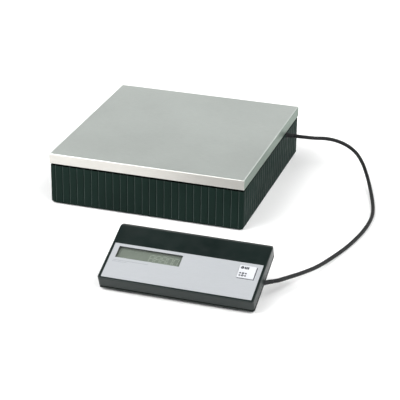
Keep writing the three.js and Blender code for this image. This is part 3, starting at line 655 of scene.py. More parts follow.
# Painted light: lighter copies of the ribbed plastic for the groove walls that face the light, with a dimmer
# one for the side grooves.
LIT_GROOVE_PAINT = moulded_plastic(
    "groove_wall_painted_light", (0.06, 0.08, 0.075), 0.5, 0.01, (0.085, 0.105, 0.1), (0.3, 0.8), 0.1)
LIT_SIDE_GROOVE_PAINT = moulded_plastic(
    "side_groove_wall_painted_light", (0.016, 0.03, 0.026), 0.5, 0.01, (0.03, 0.045, 0.04), (0.3, 0.8), 0.05)
# The case's lighter edge colour is partly a painted highlight on its bevels.
CASE = moulded_plastic(
    "case_plastic", (0.004, 0.009, 0.008), 0.36, 0.012, (0.07, 0.095, 0.075), (0.3, 0.9), 0.34)
# Painted shade: a near-black matt copy for the rim under the pan's skirt and the groove where the display
# cases meet.
PAINTED_SHADE = moulded_plastic(
    "recess_painted_shade", (0.0015, 0.003, 0.0025), 0.7, 0.01, (0.004, 0.006, 0.005), (0.2, 0.5), 0.02)
RUBBER = rubber_skin("rubber", (0.012, 0.013, 0.014), 0.7, (0.045, 0.047, 0.047))
JACKET = rubber_skin("cable_jacket", (0.003, 0.0035, 0.004), 0.5, (0.007, 0.0075, 0.008))
PANEL_SKIN = brushed_metal("silver_panel", (0.42, 0.436, 0.455), 0.4, 120, (1, 30, 30), 0.002, 0.2)
KEY_SKIN = brushed_metal("key_face", (0.58, 0.595, 0.62), 0.42, 120, (1, 30, 30), 0.002, 0.1)
LCD_SKIN = display_glass("lcd_face", (0.125, 0.15, 0.12))
LCD_SHADE = display_glass("lcd_shade", (0.07, 0.085, 0.068))
SEGMENT = display_glass("lcd_segment", (0.23, 0.27, 0.22))
LENS = clear_plastic("lens", (0.3, 0.33, 0.3))
# Dark ink for the key's signs, also used for the painted shadow line by the key.
INK_AND_PAINTED_SHADOW = rubber_skin("printed_ink_and_painted_shadow", (0.02, 0.022, 0.028), 0.5, (0.04, 0.042, 0.05))
PALE_PRINT = rubber_skin("pale_ink", (0.22, 0.23, 0.26), 0.5, (0.27, 0.28, 0.3))
BOARD = circuit_lacquer("circuit_board", (0.02, 0.13, 0.05))
BATTERY_SKIN = brushed_metal("battery_jacket", (0.06, 0.075, 0.1), 0.35, 60, (1, 1, 1), 0.003, 0.4)


# ---- The cable, and the pieces that it leaves and enters by ----

def boot_place():
    """Where the cable enters the slab's right side, in the level frame in millimetres."""
    depth, height = BOOT["depth_at"], BOOT["height_at"]
    return Vector((
        SLAB_SIZE["width"],
        depth * math.cos(TILT) - height * math.sin(TILT),
        depth * math.sin(TILT) + height * math.cos(TILT),
    ))


def boot_direction():
    return Vector((math.cos(BOOT["heading"]), math.sin(BOOT["heading"]), -BOOT["droop"])).normalized()


def beyond_boot(distance):
    """A point on the cable's line past the boot's tip, in metres."""
    return DISPLAY_AT + (boot_place() + boot_direction() * (BOOT["outer"] + distance)) * MM


def boot_frame():
    """The frame with its z along the cable where it enters the display."""
    spot = Matrix.Translation(DISPLAY_AT + boot_place() * MM)
    return spot @ boot_direction().to_track_quat("Z", "Y").to_matrix().to_4x4()


def ringed_sleeve(profile_start, profile_end, rings, neck, tip):
    """Profile points of a tapered sleeve with shallow rings moulded round it."""
    points = []
    length = profile_end - profile_start
    for i in range(rings):
        base = profile_start + length * i / rings
        step = length / rings
        radius = neck + (tip - neck) * i / rings
        points += [(radius, base + 0.1 * step), (radius, base + 0.6 * step),
                   (radius - 0.35, base + 0.7 * step), (radius - 0.35, base + 0.95 * step)]
    return points


def make_cable():
    gland_low, gland_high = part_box("base_cable_gland")
    gland_y = (gland_low.y + gland_high.y) / 2
    gland_z = (gland_low.z + gland_high.z) / 2
    route = [
        (gland_high.x + 0.0003, gland_y, gland_z),
        (0.140, 0.2137, 0.0628),
        (0.1585, 0.223, 0.0595),
        (0.178, 0.238, 0.055),
        (0.1955, 0.249, 0.048),
        (0.211, 0.2545, 0.0395),
        (0.225, 0.2525, 0.0305),
        (0.2385, 0.2395, 0.021),
        (0.2535, 0.2105, 0.0115),
        (0.2695, 0.166, 0.0055),
        (0.283, 0.120, 0.0032),
        (0.290, 0.0865, 0.0032),
        (0.292, 0.0585, 0.0032),
        (0.290, 0.0215, 0.0032),
        (0.285, -0.0115, 0.0032),
        (0.2775, -0.045, 0.0032),
        (0.2665, -0.083, 0.004),
        (0.253, -0.127, 0.007),
        (0.239, -0.168, 0.014),
        (0.2245, -0.2025, 0.0205),
        beyond_boot(8),
        beyond_boot(GAP),
    ]
    path = smooth_path(route, 0.003)
    cable = new_piece("signal_cable", tube(path, CABLE_RADIUS * MM), WORLD, 1)
    cable.data.materials.append(JACKET)
    cable.data.shade_smooth()
    cable.data.set_sharp_from_angle(angle=math.radians(40))
    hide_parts("main_cable")
    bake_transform(cable)
    length = sum((b - a).length for a, b in zip(path, path[1:]))
    return cable, path, length


def make_gland():
    neck, flange, thick, outside = (GLAND[key] for key in ("neck", "flange", "flange_thick", "length"))
    wall_in = -(BASE["rim_inset"] + BASE["rim_wall"]) - GAP
    profile = [(0, wall_in - thick), (flange - 0.3, wall_in - thick), (flange, wall_in - thick + 0.3),
               (flange, wall_in), (neck, wall_in), (neck, GAP), (flange, GAP), (flange, GAP + thick - 0.4),
               (flange - 0.4, GAP + thick)]
    profile += ringed_sleeve(GAP + thick + 0.2, outside, 4, GLAND["sleeve"], GLAND["tip"])
    profile += [(GLAND["tip"] - 0.3, outside), (0, outside)]
    place = PLATFORM @ along_x(Vector((BASE["width"] / 2, GLAND["y"], GLAND["z"])) * MM)
    gland = new_piece("base_gland", turned(profile), place)
    return dress(gland, "base", RUBBER, ["base_cable_gland"])


def make_boot():
    profile = [(0, -BOOT["inner"]), (BOOT["neck"], -BOOT["inner"]), (BOOT["neck"], 3.5)]
    profile += ringed_sleeve(3.6, BOOT["outer"], 4, BOOT["neck"] - 0.05, BOOT["tip"])
    profile += [(BOOT["tip"] - 0.3, BOOT["outer"]), (0, BOOT["outer"])]
    boot = new_piece("cable_boot", turned(profile), boot_frame())
    return dress(boot, "display", RUBBER, ["display_cable_boot"])


cable, cable_path, cable_length = make_cable()
gland = make_gland()
boot = make_boot()


# ---- Weighing pan ----

def make_pan():
    """Folded sheet: its underside, down the inside of the skirt, round the cut edge and up over the bend."""
    width, depth, top, sheet, bend = PAN["width"], PAN["depth"], PAN["top"], PAN["sheet"], PAN["bend"]
    bottom = top - PAN["skirt"]
    corner = PAN["corner"]
    inside = [(bend, top - sheet)] + fillet(bend - sheet, 4, 90, bend, top - bend)[1:]
    edge = [(sheet, bottom + 0.3), (sheet - 0.3, bottom), (0.3, bottom), (0, bottom + 0.3)]
    outside = list(reversed(fillet(bend, 8, 90, bend, top - bend)))
    sections = []
    for inset, z in inside + edge + outside:
        radius = max(corner - inset * 0.4, 0.3)
        sections.append((centred(width, depth, inset, radius, 5), z))
    pan = new_piece("weighing_pan_sheet", loft(sections), PLATFORM)
    seam, seam_top = 0.35, top - bend - 0.2
    slots = []
    for sx, sy in CORNERS:
        x0, x1 = sorted((sx * (width / 2 - sheet - 1), sx * (width / 2 + 1)))
        y0, y1 = sorted((sy * (depth / 2 - sheet), sy * (depth / 2 - sheet - seam)))
        slots.append(block(x0, x1, y0, y1, bottom - 1, seam_top))
    cut(pan, *tools_in(PLATFORM, *slots))
    dress(pan, "pan", STEEL, ["weighing_pan"], 40)


# ---- Base ----

def make_base_shell():
    width, depth, bottom, corner = BASE["width"], BASE["depth"], BASE["bottom"], BASE["corner"]
    rib_top, rim_top, wall = BASE["rib_top"], BASE["rim_top"], BASE["wall"]
    rib_bottom = bottom + BASE["plinth"]
    floor_top = bottom + BASE["floor"]
    rim_in, rim_inner = BASE["rim_inset"], BASE["rim_inset"] + BASE["rim_wall"]
    shell = new_piece("base_ribbed_shell", loft([
        (grooved_outline(0.6), rib_bottom), (grooved_outline(0.15), rib_bottom + 0.15),
        (grooved_outline(0), rib_bottom + 0.6), (grooved_outline(0), rib_top - 0.6),
        (grooved_outline(0.15), rib_top - 0.15), (grooved_outline(0.6), rib_top)]), PLATFORM)
    plinth_inset = BASE["plinth_inset"]
    plinth = loft([(centred(width, depth, plinth_inset + 0.4, corner), bottom),
                   (centred(width, depth, plinth_inset, corner), bottom + 0.4),
                   (centred(width, depth, plinth_inset, corner), rib_bottom + 1)])
    rim = loft([(centred(width, depth, rim_in, corner), rib_top - 1),
                (centred(width, depth, rim_in, corner), rim_top - 0.4),
                (centred(width, depth, rim_in + 0.4, corner), rim_top)])
    join(shell, *tools_in(PLATFORM, plinth, rim))
    hollow = prism(centred(width, depth, wall, corner - 1), floor_top, rib_top - wall)
    mouth = prism(centred(width, depth, rim_inner, corner - 1), rib_top - wall - 1, rim_top + 1)
    cut(shell, *tools_in(PLATFORM, hollow, mouth))
    bosses, holes = [], []
    for sx, sy in CORNERS:
        x, y = sx * FRAME_SCREW["x"], sy * FRAME_SCREW["y"]
        bosses.append(rod(FRAME_SCREW["boss_radius"], x, y, floor_top - 1, FRAME_SCREW["boss_top"]))
        holes.append(rod(FRAME_SCREW["hole_radius"], x, y, floor_top + 0.5, FRAME_SCREW["boss_top"] + 1.3))
        holes.append(rod(FOOT["stem"] + GAP, sx * FOOT["x"], sy * FOOT["y"], bottom - 1, floor_top + 1))
    join(shell, *tools_in(PLATFORM, *floor_ribs(floor_top), *bosses))
    slot_half = GLAND["neck"] + GAP
    slot_x0, slot_x1 = width / 2 - rim_inner - 1, width / 2 + 1
    slot_y0, slot_y1 = GLAND["y"] - slot_half, GLAND["y"] + slot_half
    holes.append(block(slot_x0, slot_x1, slot_y0, slot_y1, GLAND["z"], rim_top + 1))
    cut(shell, *tools_in(PLATFORM, *holes))
    round_slot = rod(slot_half, 0, 0, slot_x0, slot_x1)
    cut(shell, *tools_in(PLATFORM @ along_x(Vector((0, GLAND["y"], GLAND["z"])) * MM), round_slot))
    dress(shell, "base", RIBBED, ["base_shell"], 30)
    paint_light_on_groove_walls(shell)
    # Painted shade on the rim above the ribs, under the pan's skirt.
    paint_shade_band(shell, PLATFORM, BASE["rib_top"] - 0.3, BASE["rim_top"] + 1, PAINTED_SHADE)


def paint_light_on_groove_walls(shell):
    """Painted light: lighter walls that face left in the front and rear grooves, and that face the front in
    the side ones.
    """
    shell.data.materials.append(LIT_GROOVE_PAINT)
    shell.data.materials.append(LIT_SIDE_GROOVE_PAINT)
    half_w, half_d = BASE["width"] / 2 - 6, BASE["depth"] / 2 - 6
    for face in shell.data.polygons:
        place = (face.center - PLATFORM_AT) / MM
        steep = abs(face.normal.x) > 0.4 and abs(face.normal.y) > 0.4
        outside = abs(place.x) > half_w or abs(place.y) > half_d
        at_corner = abs(place.x) > half_w and abs(place.y) > half_d
        lit = face.normal.x < 0 if abs(place.y) > half_d else face.normal.y < 0
        if steep and outside and lit and not at_corner:
            face.material_index = 1 if abs(place.y) > half_d else 2


def floor_ribs(floor_top):
    half_w = BASE["width"] / 2 - BASE["wall"] + 1
    half_d = BASE["depth"] / 2 - BASE["wall"] + 1
    top, half = floor_top + FLOOR_RIBS["height"], FLOOR_RIBS["half_width"]
    ribs = []
    for side in (-1, 1):
        x, y = side * FLOOR_RIBS["x"], side * FLOOR_RIBS["y"]
        ribs.append(block(-half_w, half_w, y - half, y + half, floor_top - 1, top))
        ribs.append(block(x - half, x + half, -half_d, half_d, floor_top - 1, top))
    return ribs


def make_feet_and_pads():
    """Feet with a ringed sole and a stem through the floor, and pads with a dished top."""
    radius, under = FOOT["radius"], BASE["bottom"] - GAP
    foot = [(0, 0.5), (3.5, 0.5), (4, 0), (6.5, 0), (6.8, 0.4), (8, 0.4), (8.3, 0), (radius - 0.6, 0),
            (radius - 0.15, 0.2), (radius, 0.7), (radius, under - 0.3), (radius - 0.3, under),
            (FOOT["stem"], under), (FOOT["stem"], FOOT["top"] - 0.5), (FOOT["stem"] - 0.5, FOOT["top"]),
            (0, FOOT["top"])]
    pad_top = PAN["top"] - PAN["sheet"] - GAP
    stem, seat, wide = PAD["stem"], CARRIER_TOP + GAP, PAD["radius"]
    stem_end = CARRIER_BOTTOM + 1
    pad = [(0, stem_end), (stem - 0.5, stem_end), (stem, stem_end + 0.5), (stem, seat), (wide - 0.3, seat),
           (wide, seat + 0.3), (wide, pad_top - 1.2), (wide - 0.3, pad_top - 0.4),
           (wide - 1, pad_top), (9, pad_top), (8.7, pad_top - 0.4), (6.3, pad_top - 0.4), (6, pad_top),
           (0, pad_top)]
    for i, (sx, sy) in enumerate(CORNERS, 1):
        at = PLATFORM @ Matrix.Translation(Vector((sx * FOOT["x"], sy * FOOT["y"], 0)) * MM)
        dress(new_piece(f"rubber_foot_{i}", turned(foot), at), "base", RUBBER, [f"base_foot_{i}"])
        at = PLATFORM @ Matrix.Translation(Vector((sx * PAD["x"], sy * PAD["y"], 0)) * MM)
        dress(new_piece(f"rubber_pad_{i}", turned(pad), at), "carrier", RUBBER, [f"pan_pad_{i}"])


make_pan()
make_base_shell()
make_feet_and_pads()


# ---- Pieces that follow a CAD node, with rounded edges or a finer form ----

def rounded_copy(node, name, width, segments=2):
    piece = bpy.data.objects.new(name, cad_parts[node].data.copy())
    piece.data.name = name
    bpy.context.scene.collection.objects.link(piece)
    return round_edges(piece, width, segments)


def refine(node, name, body, material, width, segments=2):
    """A copy of a CAD node's mesh with its edges rounded."""
    dress(rounded_copy(node, name, width, segments), body, material, [node])


def make_load_cell():
    """The beam, with its edges rounded: one end is bolted to the frame, and the other end to the carrier."""
    beam = rounded_copy("load_cell", "load_cell_beam", 0.3)
    beam.data.materials.clear()
    beam.data.materials.append(MACHINED)
    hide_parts("load_cell")
    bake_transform(beam)


def cross(arm, half, bottom, top):
    """The two slots of a cross recess."""
    return [block(-arm, arm, -half, half, bottom, top), block(-half, half, -arm, arm, bottom, top)]


def upright_screw(node, name, body, head_radius, shank_radius, head_height, head_up):
    """A screw with a domed head, a cross recess and a thread, where its CAD node stands."""
    low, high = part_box(node)
    length = (high.z - low.z) / MM - head_height
    profile = [(0, -length), (shank_radius * 0.5, -length)]
    turns = max(2, int(length))
    for i in range(turns):
        z = -length + 0.6 + (length - 0.8) * i / turns
        step = (length - 0.8) / turns
        profile += [(shank_radius * 0.82, z), (shank_radius, z + step * 0.35), (shank_radius, z + step * 0.5),
                    (shank_radius * 0.82, z + step * 0.85)]
    profile += [(shank_radius, 0), (head_radius - 0.2, 0), (head_radius, 0.2),
                (head_radius, head_height * 0.5), (head_radius * 0.85, head_height * 0.85),
                (head_radius * 0.5, head_height), (0, head_height)]
    up = 1 if head_up else -1
    head_under = high.z - head_height * MM if head_up else low.z + head_height * MM
    place = Matrix.Translation(((low.x + high.x) / 2, (low.y + high.y) / 2, head_under))
    place = place @ Matrix.Scale(up, 4, (0, 0, 1))
    piece = new_piece(name, turned(profile, 32), place)
    arm, half = head_radius * 0.55, head_radius * 0.12
    recess = head_height * 0.45
    cut(piece, *tools_in(place, *cross(arm, half, recess, head_height + 1)))
    dress(piece, body, ZINC, [node])


def make_mechanism():
    refine("pan_carrier", "carrier_casting", "carrier", CAST, 0.8, 3)
    refine("base_frame", "base_plate", "base", ZINC, 0.3)
    make_load_cell()
    refine("cell_spacer_lower", "spacer_lower", "base", ZINC, 0.3)
    refine("cell_spacer_upper", "spacer_upper", "carrier", ZINC, 0.3)
    refine("overload_stop_nut", "stop_nut", "base", ZINC, 0.3)
    refine("lead_clip", "lead_saddle", "base", CASE, 0.3)
    for i in range(1, 5):
        upright_screw(f"frame_screw_{i}", f"frame_bolt_{i}", "base", 4.5, 2.5, 2.8, True)
    for i in (1, 2):
        upright_screw(f"cell_bolt_fixed_{i}", f"cell_screw_fixed_{i}", "base", 5, 3, 3.5, False)
        upright_screw(f"cell_bolt_live_{i}", f"cell_screw_live_{i}", "carrier", 5, 3, 3.5, True)


make_mechanism()


# ---- Display cases ----

def slab_outline(inset, rear=None):
    """The slab's outline drawn in by an inset, with its own inset at the rear if one is given."""
    width, depth = SLAB_SIZE["width"], SLAB_SIZE["depth"]
    rear = inset if rear is None else rear
    return outline(inset, width - inset, inset, depth - rear, max(SLAB_SIZE["corner"] - inset, 0.8))


def make_top_case():
    thick, wall, split, edge = (SLAB_SIZE[k] for k in ("thick", "wall", "split", "edge"))
    rear_slope, rear_drop = SLAB_SIZE["rear_slope"], SLAB_SIZE["rear_drop"]
    ceiling = thick - wall
    groove_top = split + PARTING["above"]
    sections = [(slab_outline(PARTING["depth"]), split),
                (slab_outline(PARTING["depth"]), groove_top - PARTING["chamfer"]),
                (slab_outline(0), groove_top),
                (slab_outline(0), thick - rear_drop)]
    for degrees in (0, 11, math.degrees(TILT), 38, 55, 72, 90):
        angle = math.radians(degrees)
        draw = 1 - math.cos(angle)
        below = edge * (1 - math.sin(angle))
        rear = rear_slope * (1 - below / rear_drop)
        sections.append((slab_outline(edge * draw, rear), thick - below))
    case = new_piece("display_case_top", loft(sections), SLAB)
    hollow = prism(slab_outline(wall), split - 1, ceiling)
    panel_seat = prism(around(PANEL, 0, 1), thick - PANEL["recess"], thick + 1)
    window = prism(around(LCD, 1, 1), ceiling - 1, thick)
    key_hole = prism(around(KEY, 0.5, 1.5), ceiling - 1, thick)
    cut(case, *tools_in(SLAB, hollow, panel_seat, window, key_hole))
    bosses = [rod(CASE_SCREW["boss_radius"], x, y, split + GAP, ceiling + 0.5, 32)
              for x, y in case_screw_places()]
    bosses += [rod(3, x, y, BOARD_TOP + GAP, ceiling + 0.5, 32) for x, y in BOARD_POSTS]
    join(case, *tools_in(SLAB, *bosses))
    holes = [rod(CASE_SCREW["radius"] + GAP, x, y, split - 1, ceiling - 1.5, 24)
             for x, y in case_screw_places()]
    cut(case, *tools_in(SLAB, *holes), boot_hole())
    dress(case, "display", CASE, ["display_top_shell"], 30)
    # Painted shade in the parting groove.
    paint_shade_band(case, SLAB, split - 1, groove_top, PAINTED_SHADE)


def case_screw_places():
    inset, width, depth = CASE_SCREW["inset"], SLAB_SIZE["width"], SLAB_SIZE["depth"]
    return [(inset, inset), (width - inset, inset), (width - inset, depth - inset), (inset, depth - inset)]


def boot_hole():
    hole = rod(BOOT["neck"] + GAP, 0, 0, -BOOT["inner"] - 4, BOOT["outer"])
    return new_piece("boot_hole", hole, boot_frame())


def wedge_section(inset, floor, above):
    slope = math.tan(TILT)
    front, rear = WEDGE["front"] + inset, WEDGE["rear"] - inset
    return [(front, floor), (rear, floor), (rear, rear * slope + above), (front, front * slope + above)]


def make_bottom_case():
    wall, split = SLAB_SIZE["wall"], SLAB_SIZE["split"]
    top, floor = split - GAP, 2
    groove_low = top - PARTING["below"]
    case = new_piece("display_case_bottom", loft([
        (slab_outline(1.5), 0), (slab_outline(1.2), 0.12), (slab_outline(0.12), 1.2), (slab_outline(0), 1.5),
        (slab_outline(0), groove_low), (slab_outline(PARTING["depth"]), groove_low + PARTING["chamfer"]),
        (slab_outline(PARTING["depth"]), top)]), SLAB)
    cut(case, *tools_in(SLAB, prism(slab_outline(wall), floor, split + 1)))
    wedge = bar_along_x(wedge_section(0, WEDGE["bottom"], 0.6), WEDGE["left"], WEDGE["right"])
    bosses = [rod(4.5, x, y, floor - 1, top, 32) for x, y in case_screw_places()]
    join(case, round_edges(new_piece("wedge", wedge, LEVEL), 0.8, 3), *tools_in(SLAB, *bosses))
    inside = WEDGE["wall"]
    bay_floor = WEDGE["bottom"] + 2
    hollows = [bar_along_x(wedge_section(inside, bay_floor, 0), *BAY)]
    for x0, x1 in ((WEDGE["left"] + inside, BAY[0] - 4), (BAY[1] + 4, WEDGE["right"] - inside)):
        hollows.append(bar_along_x(wedge_section(inside, bay_floor, floor + 1), x0, x1))
    rear, slot_top = WEDGE["rear"] + 1, WEDGE["bottom"] + 2.4
    hollows.append(block(BAY[0] - 2, BAY[1] + 2, 50, rear, WEDGE["bottom"] + 0.6, slot_top))
    hollows.append(block(BAY[0], BAY[1], 52, rear, WEDGE["bottom"] - 1, slot_top))
    cut(case, *tools_in(LEVEL, *hollows))
    holes = [rod(1.6, x, y, -1, split + 1, 24) for x, y in case_screw_places()]
    holes += [rod(3.2, x, y, -1, CASE_SCREW["seat"], 32) for x, y in case_screw_places()]
    cut(case, *tools_in(SLAB, *holes), boot_hole())
    dress(case, "display", CASE, ["display_bottom_shell"], 30)
    # Painted shade in the parting groove.
    paint_shade_band(case, SLAB, groove_low, split, PAINTED_SHADE)


make_top_case()
make_bottom_case()


# ---- Display face ----

FACE = SLAB_SIZE["thick"] - PANEL["recess"] + GAP + PANEL["thick"]  # the height of the panel's face


def make_panel():
    edge = around(PANEL, -GAP, 0.8)
    seat = FACE - PANEL["thick"]
    bevel = 0.15
    middle_x, middle_y = (PANEL["left"] + PANEL["right"]) / 2, (PANEL["front"] + PANEL["rear"]) / 2
    inner = [Vector((p.x + math.copysign(bevel, middle_x - p.x), p.y + math.copysign(bevel, middle_y - p.y)))
             for p in edge]
    panel = new_piece("display_panel", loft([(edge, seat), (edge, FACE - bevel), (inner, FACE)]), SLAB)
    openings = [prism(points, seat - 1, FACE + 1) for points in (around(LCD, 0, 0.8), around(KEY, 0.4, 1.4))]
    cut(panel, *tools_in(SLAB, *openings))
    dress(panel, "display", PANEL_SKIN, ["front_panel"])


def make_key():
    """The cap has a shallow dish in its top, and a flange and stem under the case."""
    top = SLAB_SIZE["thick"] + KEY["proud"]
    flange_top = SLAB_SIZE["thick"] - SLAB_SIZE["wall"] - GAP
    key = new_piece("tare_key_cap", loft([
        (around(KEY, 0, 1.2), flange_top - 0.5), (around(KEY, 0, 1.2), top - 0.4),
        (around(KEY, -0.12, 1.1), top - 0.12), (around(KEY, -0.4, 0.9), top),
        (around(KEY, -0.9, 0.8), top), (around(KEY, -1.3, 0.7), top - 0.12)]), SLAB)
    flange = prism(around(KEY, 1.5, 1), flange_top - 1.2, flange_top)
    stem_end = BOARD_TOP + 4.5
    middle_x, middle_y = (KEY["left"] + KEY["right"]) / 2, (KEY["front"] + KEY["rear"]) / 2
    stem = rod(2, middle_x, middle_y, stem_end, flange_top - 1)
    join(key, *tools_in(SLAB, flange, stem))
    dress(key, "key", KEY_SKIN, ["tare_key"])


def ring_plate(radius, width, x, y, z, height):
    """A flat ring, as a bmesh."""
    bm = bmesh.new()
    loops = []
    for r, level in ((radius, z), (radius, z + height), (radius - width, z + height), (radius - width, z)):
        loops.append([bm.verts.new((p.x, p.y, level)) for p in circle(r, x, y, 32)])
    bridge(bm, loops + loops[:1])
    return bm


def merged(parts):
    """Several bmeshes as one."""
    whole = bmesh.new()
    for part in parts:
        mesh = bpy.data.meshes.new("part")
        part.to_mesh(mesh)
        part.free()
        whole.from_mesh(mesh)
        bpy.data.meshes.remove(mesh)
    return whole


def make_key_print():
    """Plain signs for the key: a ring with bars, and two rows of a ring between arrows."""
    ink, z = 0.03, SLAB_SIZE["thick"] + KEY["proud"] - 0.12
    x, y = KEY["left"] + 4.4, KEY["rear"] - 4.4
    parts = [ring_plate(2.4, 1.6, x, y, z, ink), block(x - 0.6, x + 0.6, y - 0.2, y + 2.9, z, z + ink)]
    for i in range(3):
        left = x + 3.2 + 2.3 * i
        parts.append(block(left, left + 1.8, y - 2.2, y + 2.2, z, z + ink))
    for row in (0, 1):
        level = KEY["front"] + 8.2 - 4.2 * row
        parts.append(ring_plate(1.8, 1.3, x + 3.4, level, z, ink))
        for side in (-1, 1):
            tip = x + 3.4 + side * 2.2
            arrow = [Vector((tip, level)), Vector((tip + side * 2.2, level + side * 1.8)),
                     Vector((tip + side * 2.2, level - side * 1.8))]
            parts.append(prism(arrow, z, z + ink))
            x0, x1 = sorted((tip + side * 2.1, tip + side * 3.3))
            parts.append(block(x0, x1, level - 0.9, level + 0.9, z, z + ink))
    dress(new_piece("key_signs", merged(parts), SLAB), "key", INK_AND_PAINTED_SHADOW)


def make_panel_print_and_key_shadow():
    """Two printed hairlines under the window, and a painted shadow line round the key's right front corner.
    """
    ink = 0.02

    def lines(name, places, material):
        parts = [block(x0, x1, y0, y1, FACE, FACE + ink) for x0, x1, y0, y1 in places]
        dress(new_piece(name, merged(parts), SLAB), "display", material)

    lines("panel_hairlines", [(11.5, 64, 37.1, 37.7), (11, 33, 34.5, 35)], PALE_PRINT)
    near, far = 0.45, 1.3  # the painted shadow line's two edges outside the key
    right, front = KEY["right"], KEY["front"]
    # Painted shadow of the proud key, drawn in the dark ink.
    lines("key_painted_shadow_line", [(right + near, right + far, front - near, KEY["rear"] - 1),
                              (KEY["left"] + 1, right + far, front - far, front - near)], INK_AND_PAINTED_SHADOW)


SEGMENTS = {"0": "abcdef", "8": "abcdefg"}


def digit(shape, x, y, z):
    """A seven-segment digit as flat bars. The digit leans a little to the right."""
    height = DIGIT["height"]
    width, bar, gap = height * 0.5, height * 0.09, height * 0.03
    half = height / 2
    places = {
        "a": (0, height, width, height), "g": (0, half, width, half), "d": (0, 0, width, 0),
        "f": (0, half, 0, height), "b": (width, half, width, height),
        "e": (0, 0, 0, half), "c": (width, 0, width, half),
    }
    parts = []
    for letter in SEGMENTS[shape]:
        x0, y0, x1, y1 = places[letter]
        start, end = Vector((x0, y0)), Vector((x1, y1))
        along = (end - start).normalized()
        side = Vector((-along.y, along.x)) * bar / 2
        start, end = start + along * gap, end - along * gap
        tip = along * bar / 2
        corners = [start, start + tip - side, end - tip - side, end, end - tip + side, start + tip + side]
        corners = [Vector((x + p.x + p.y * 0.1, y + p.y)) for p in corners]
        parts.append(prism(corners, z, z + DIGIT["ink"]))
    return parts


def make_lcd():
    ceiling = SLAB_SIZE["thick"] - SLAB_SIZE["wall"]
    lens_top = ceiling - GAP
    glass_top = lens_top - LENS_THICK - GAP
    lens = new_piece("lcd_lens", prism(around(LCD, 3, 1), lens_top - LENS_THICK, lens_top), SLAB)
    dress(round_edges(lens, 0.15), "display", LENS, ["lcd_window"])
    plate = block(LCD["left"] - 1, LCD["right"] + 1, GLASS["front"], GLASS["rear"],
                  glass_top - GLASS["thick"], glass_top)
    glass = new_piece("lcd_glass", plate, SLAB)
    dress(round_edges(glass, 0.2), "display", LCD_SKIN, ["lcd_module"])
    make_lcd_painted_shade(glass_top)
    make_lcd_digits(glass_top)


def make_lcd_painted_shade(face):
    """Darker strips along the rear and left edges, as the window's frame shades them."""
    left, right, front, rear = (LCD[side] for side in ("left", "right", "front", "rear"))
    strip, beyond, thick = 1.6, 0.5, 0.01
    rear_strip = block(left - beyond, right + beyond, rear - strip, rear + beyond, face, face + thick)
    left_strip = block(left - beyond, left + 1, front, rear - strip, face, face + thick)
    shade_strips = new_piece("lcd_painted_shade", merged([rear_strip, left_strip]), SLAB)
    dress(shade_strips, "display", LCD_SHADE)


def make_lcd_digits(face):
    """Five digits with a point before the last two."""
    first, pitch, front = DIGIT["first"], DIGIT["pitch"], LCD["front"] + DIGIT["front"]
    parts = []
    for i, shape in enumerate("8880"):
        parts += digit(shape, first + i * pitch, front, face)
    dot = first + 3 * pitch - 1.6
    parts.append(block(dot, dot + 0.9, front - 0.4, front + 0.5, face, face + DIGIT["ink"]))
    parts += digit("0", first + 4 * pitch, front, face)
    dress(new_piece("lcd_digits", merged(parts), SLAB), "display", SEGMENT)


make_panel()
make_key()
make_key_print()
make_panel_print_and_key_shadow()
make_lcd()


# ---- Display insides, batteries, door and feet ----

def make_batteries():
    radius, body, nub_radius, nub = (BATTERY[key] for key in ("radius", "body", "nub_radius", "nub"))
    profile = [(0, 0), (5, 0), (5.2, 0.25), (radius - 0.5, 0.25), (radius, 0.75), (radius, body - 0.9),
               (radius - 0.35, body - 0.35), (radius - 1.2, body - 0.2), (radius - 1.6, body - 0.5),
               (nub_radius, body - 0.5), (nub_radius, body + nub - 0.25), (nub_radius - 0.3, body + nub),
               (0, body + nub)]
    for i in range(1, 5):
        node = f"battery_{i}"
        low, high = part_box(node)
        middle = (low + high) / 2
        towards_right = i < 3
        start = low.x if towards_right else high.x
        piece = new_piece(f"cell_{i}", turned(profile), along_x((start, middle.y, middle.z), towards_right))
        dress(piece, "display", BATTERY_SKIN, [node])
        sleeve = piece.data
        sleeve.materials.append(ZINC)
        for face in sleeve.polygons:
            along = (Vector(face.center) - Vector((start, middle.y, middle.z))).length / MM
            off_axis = math.hypot(face.center.y - middle.y, face.center.z - middle.z) / MM
            if off_axis < radius - 1 or along > body:
                face.material_index = 1


def make_springs():
    """A thin plate with a conical coil of round wire."""
    half, wire = SPRING["plate_half"], SPRING["wire"]
    for row in (1, 2):
        node = f"battery_spring_{row}"
        low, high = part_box(node)
        towards_right = row == 1
        middle = (low + high) / 2
        height = (high.x - low.x) / MM
        points = []
        for i in range(SPRING["steps"] + 1):
            share = i / SPRING["steps"]
            angle = share * SPRING["turns"] * 2 * math.pi
            reach = SPRING["reach"] - SPRING["taper"] * share
            rise = wire + 0.3 + (height - 3 * wire) * share
            points.append(Vector((reach * math.cos(angle), reach * math.sin(angle), rise)))
        plate = prism(outline(-half, half, -half, half, 1, 3), 0, SPRING["plate"])
        place = along_x((low.x if towards_right else high.x, middle.y, middle.z), towards_right)
        piece = new_piece(f"contact_spring_{row}", merged([plate, tube(points, wire, 10)]), place)
        dress(piece, "display", ZINC, [node])


def make_display_feet():
    for side in ("left", "right"):
        refine(f"display_foot_front_{side}", f"front_pad_{side}", "display", RUBBER, 0.35)
        node = f"display_foot_rear_{side}"
        low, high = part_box(node)
        top = (high.z - low.z) / MM
        radius = (high.x - low.x) / MM / 2
        profile = [(0, 0.3), (2, 0.3), (2.4, 0), (radius - 0.5, 0), (radius, 0.4), (radius, top - 0.3),
                   (radius - 0.3, top), (0, top)]
        place = Matrix.Translation(((low.x + high.x) / 2, (low.y + high.y) / 2, low.z))
        dress(new_piece(f"rear_pad_{side}", turned(profile), place), "display", RUBBER, [node])


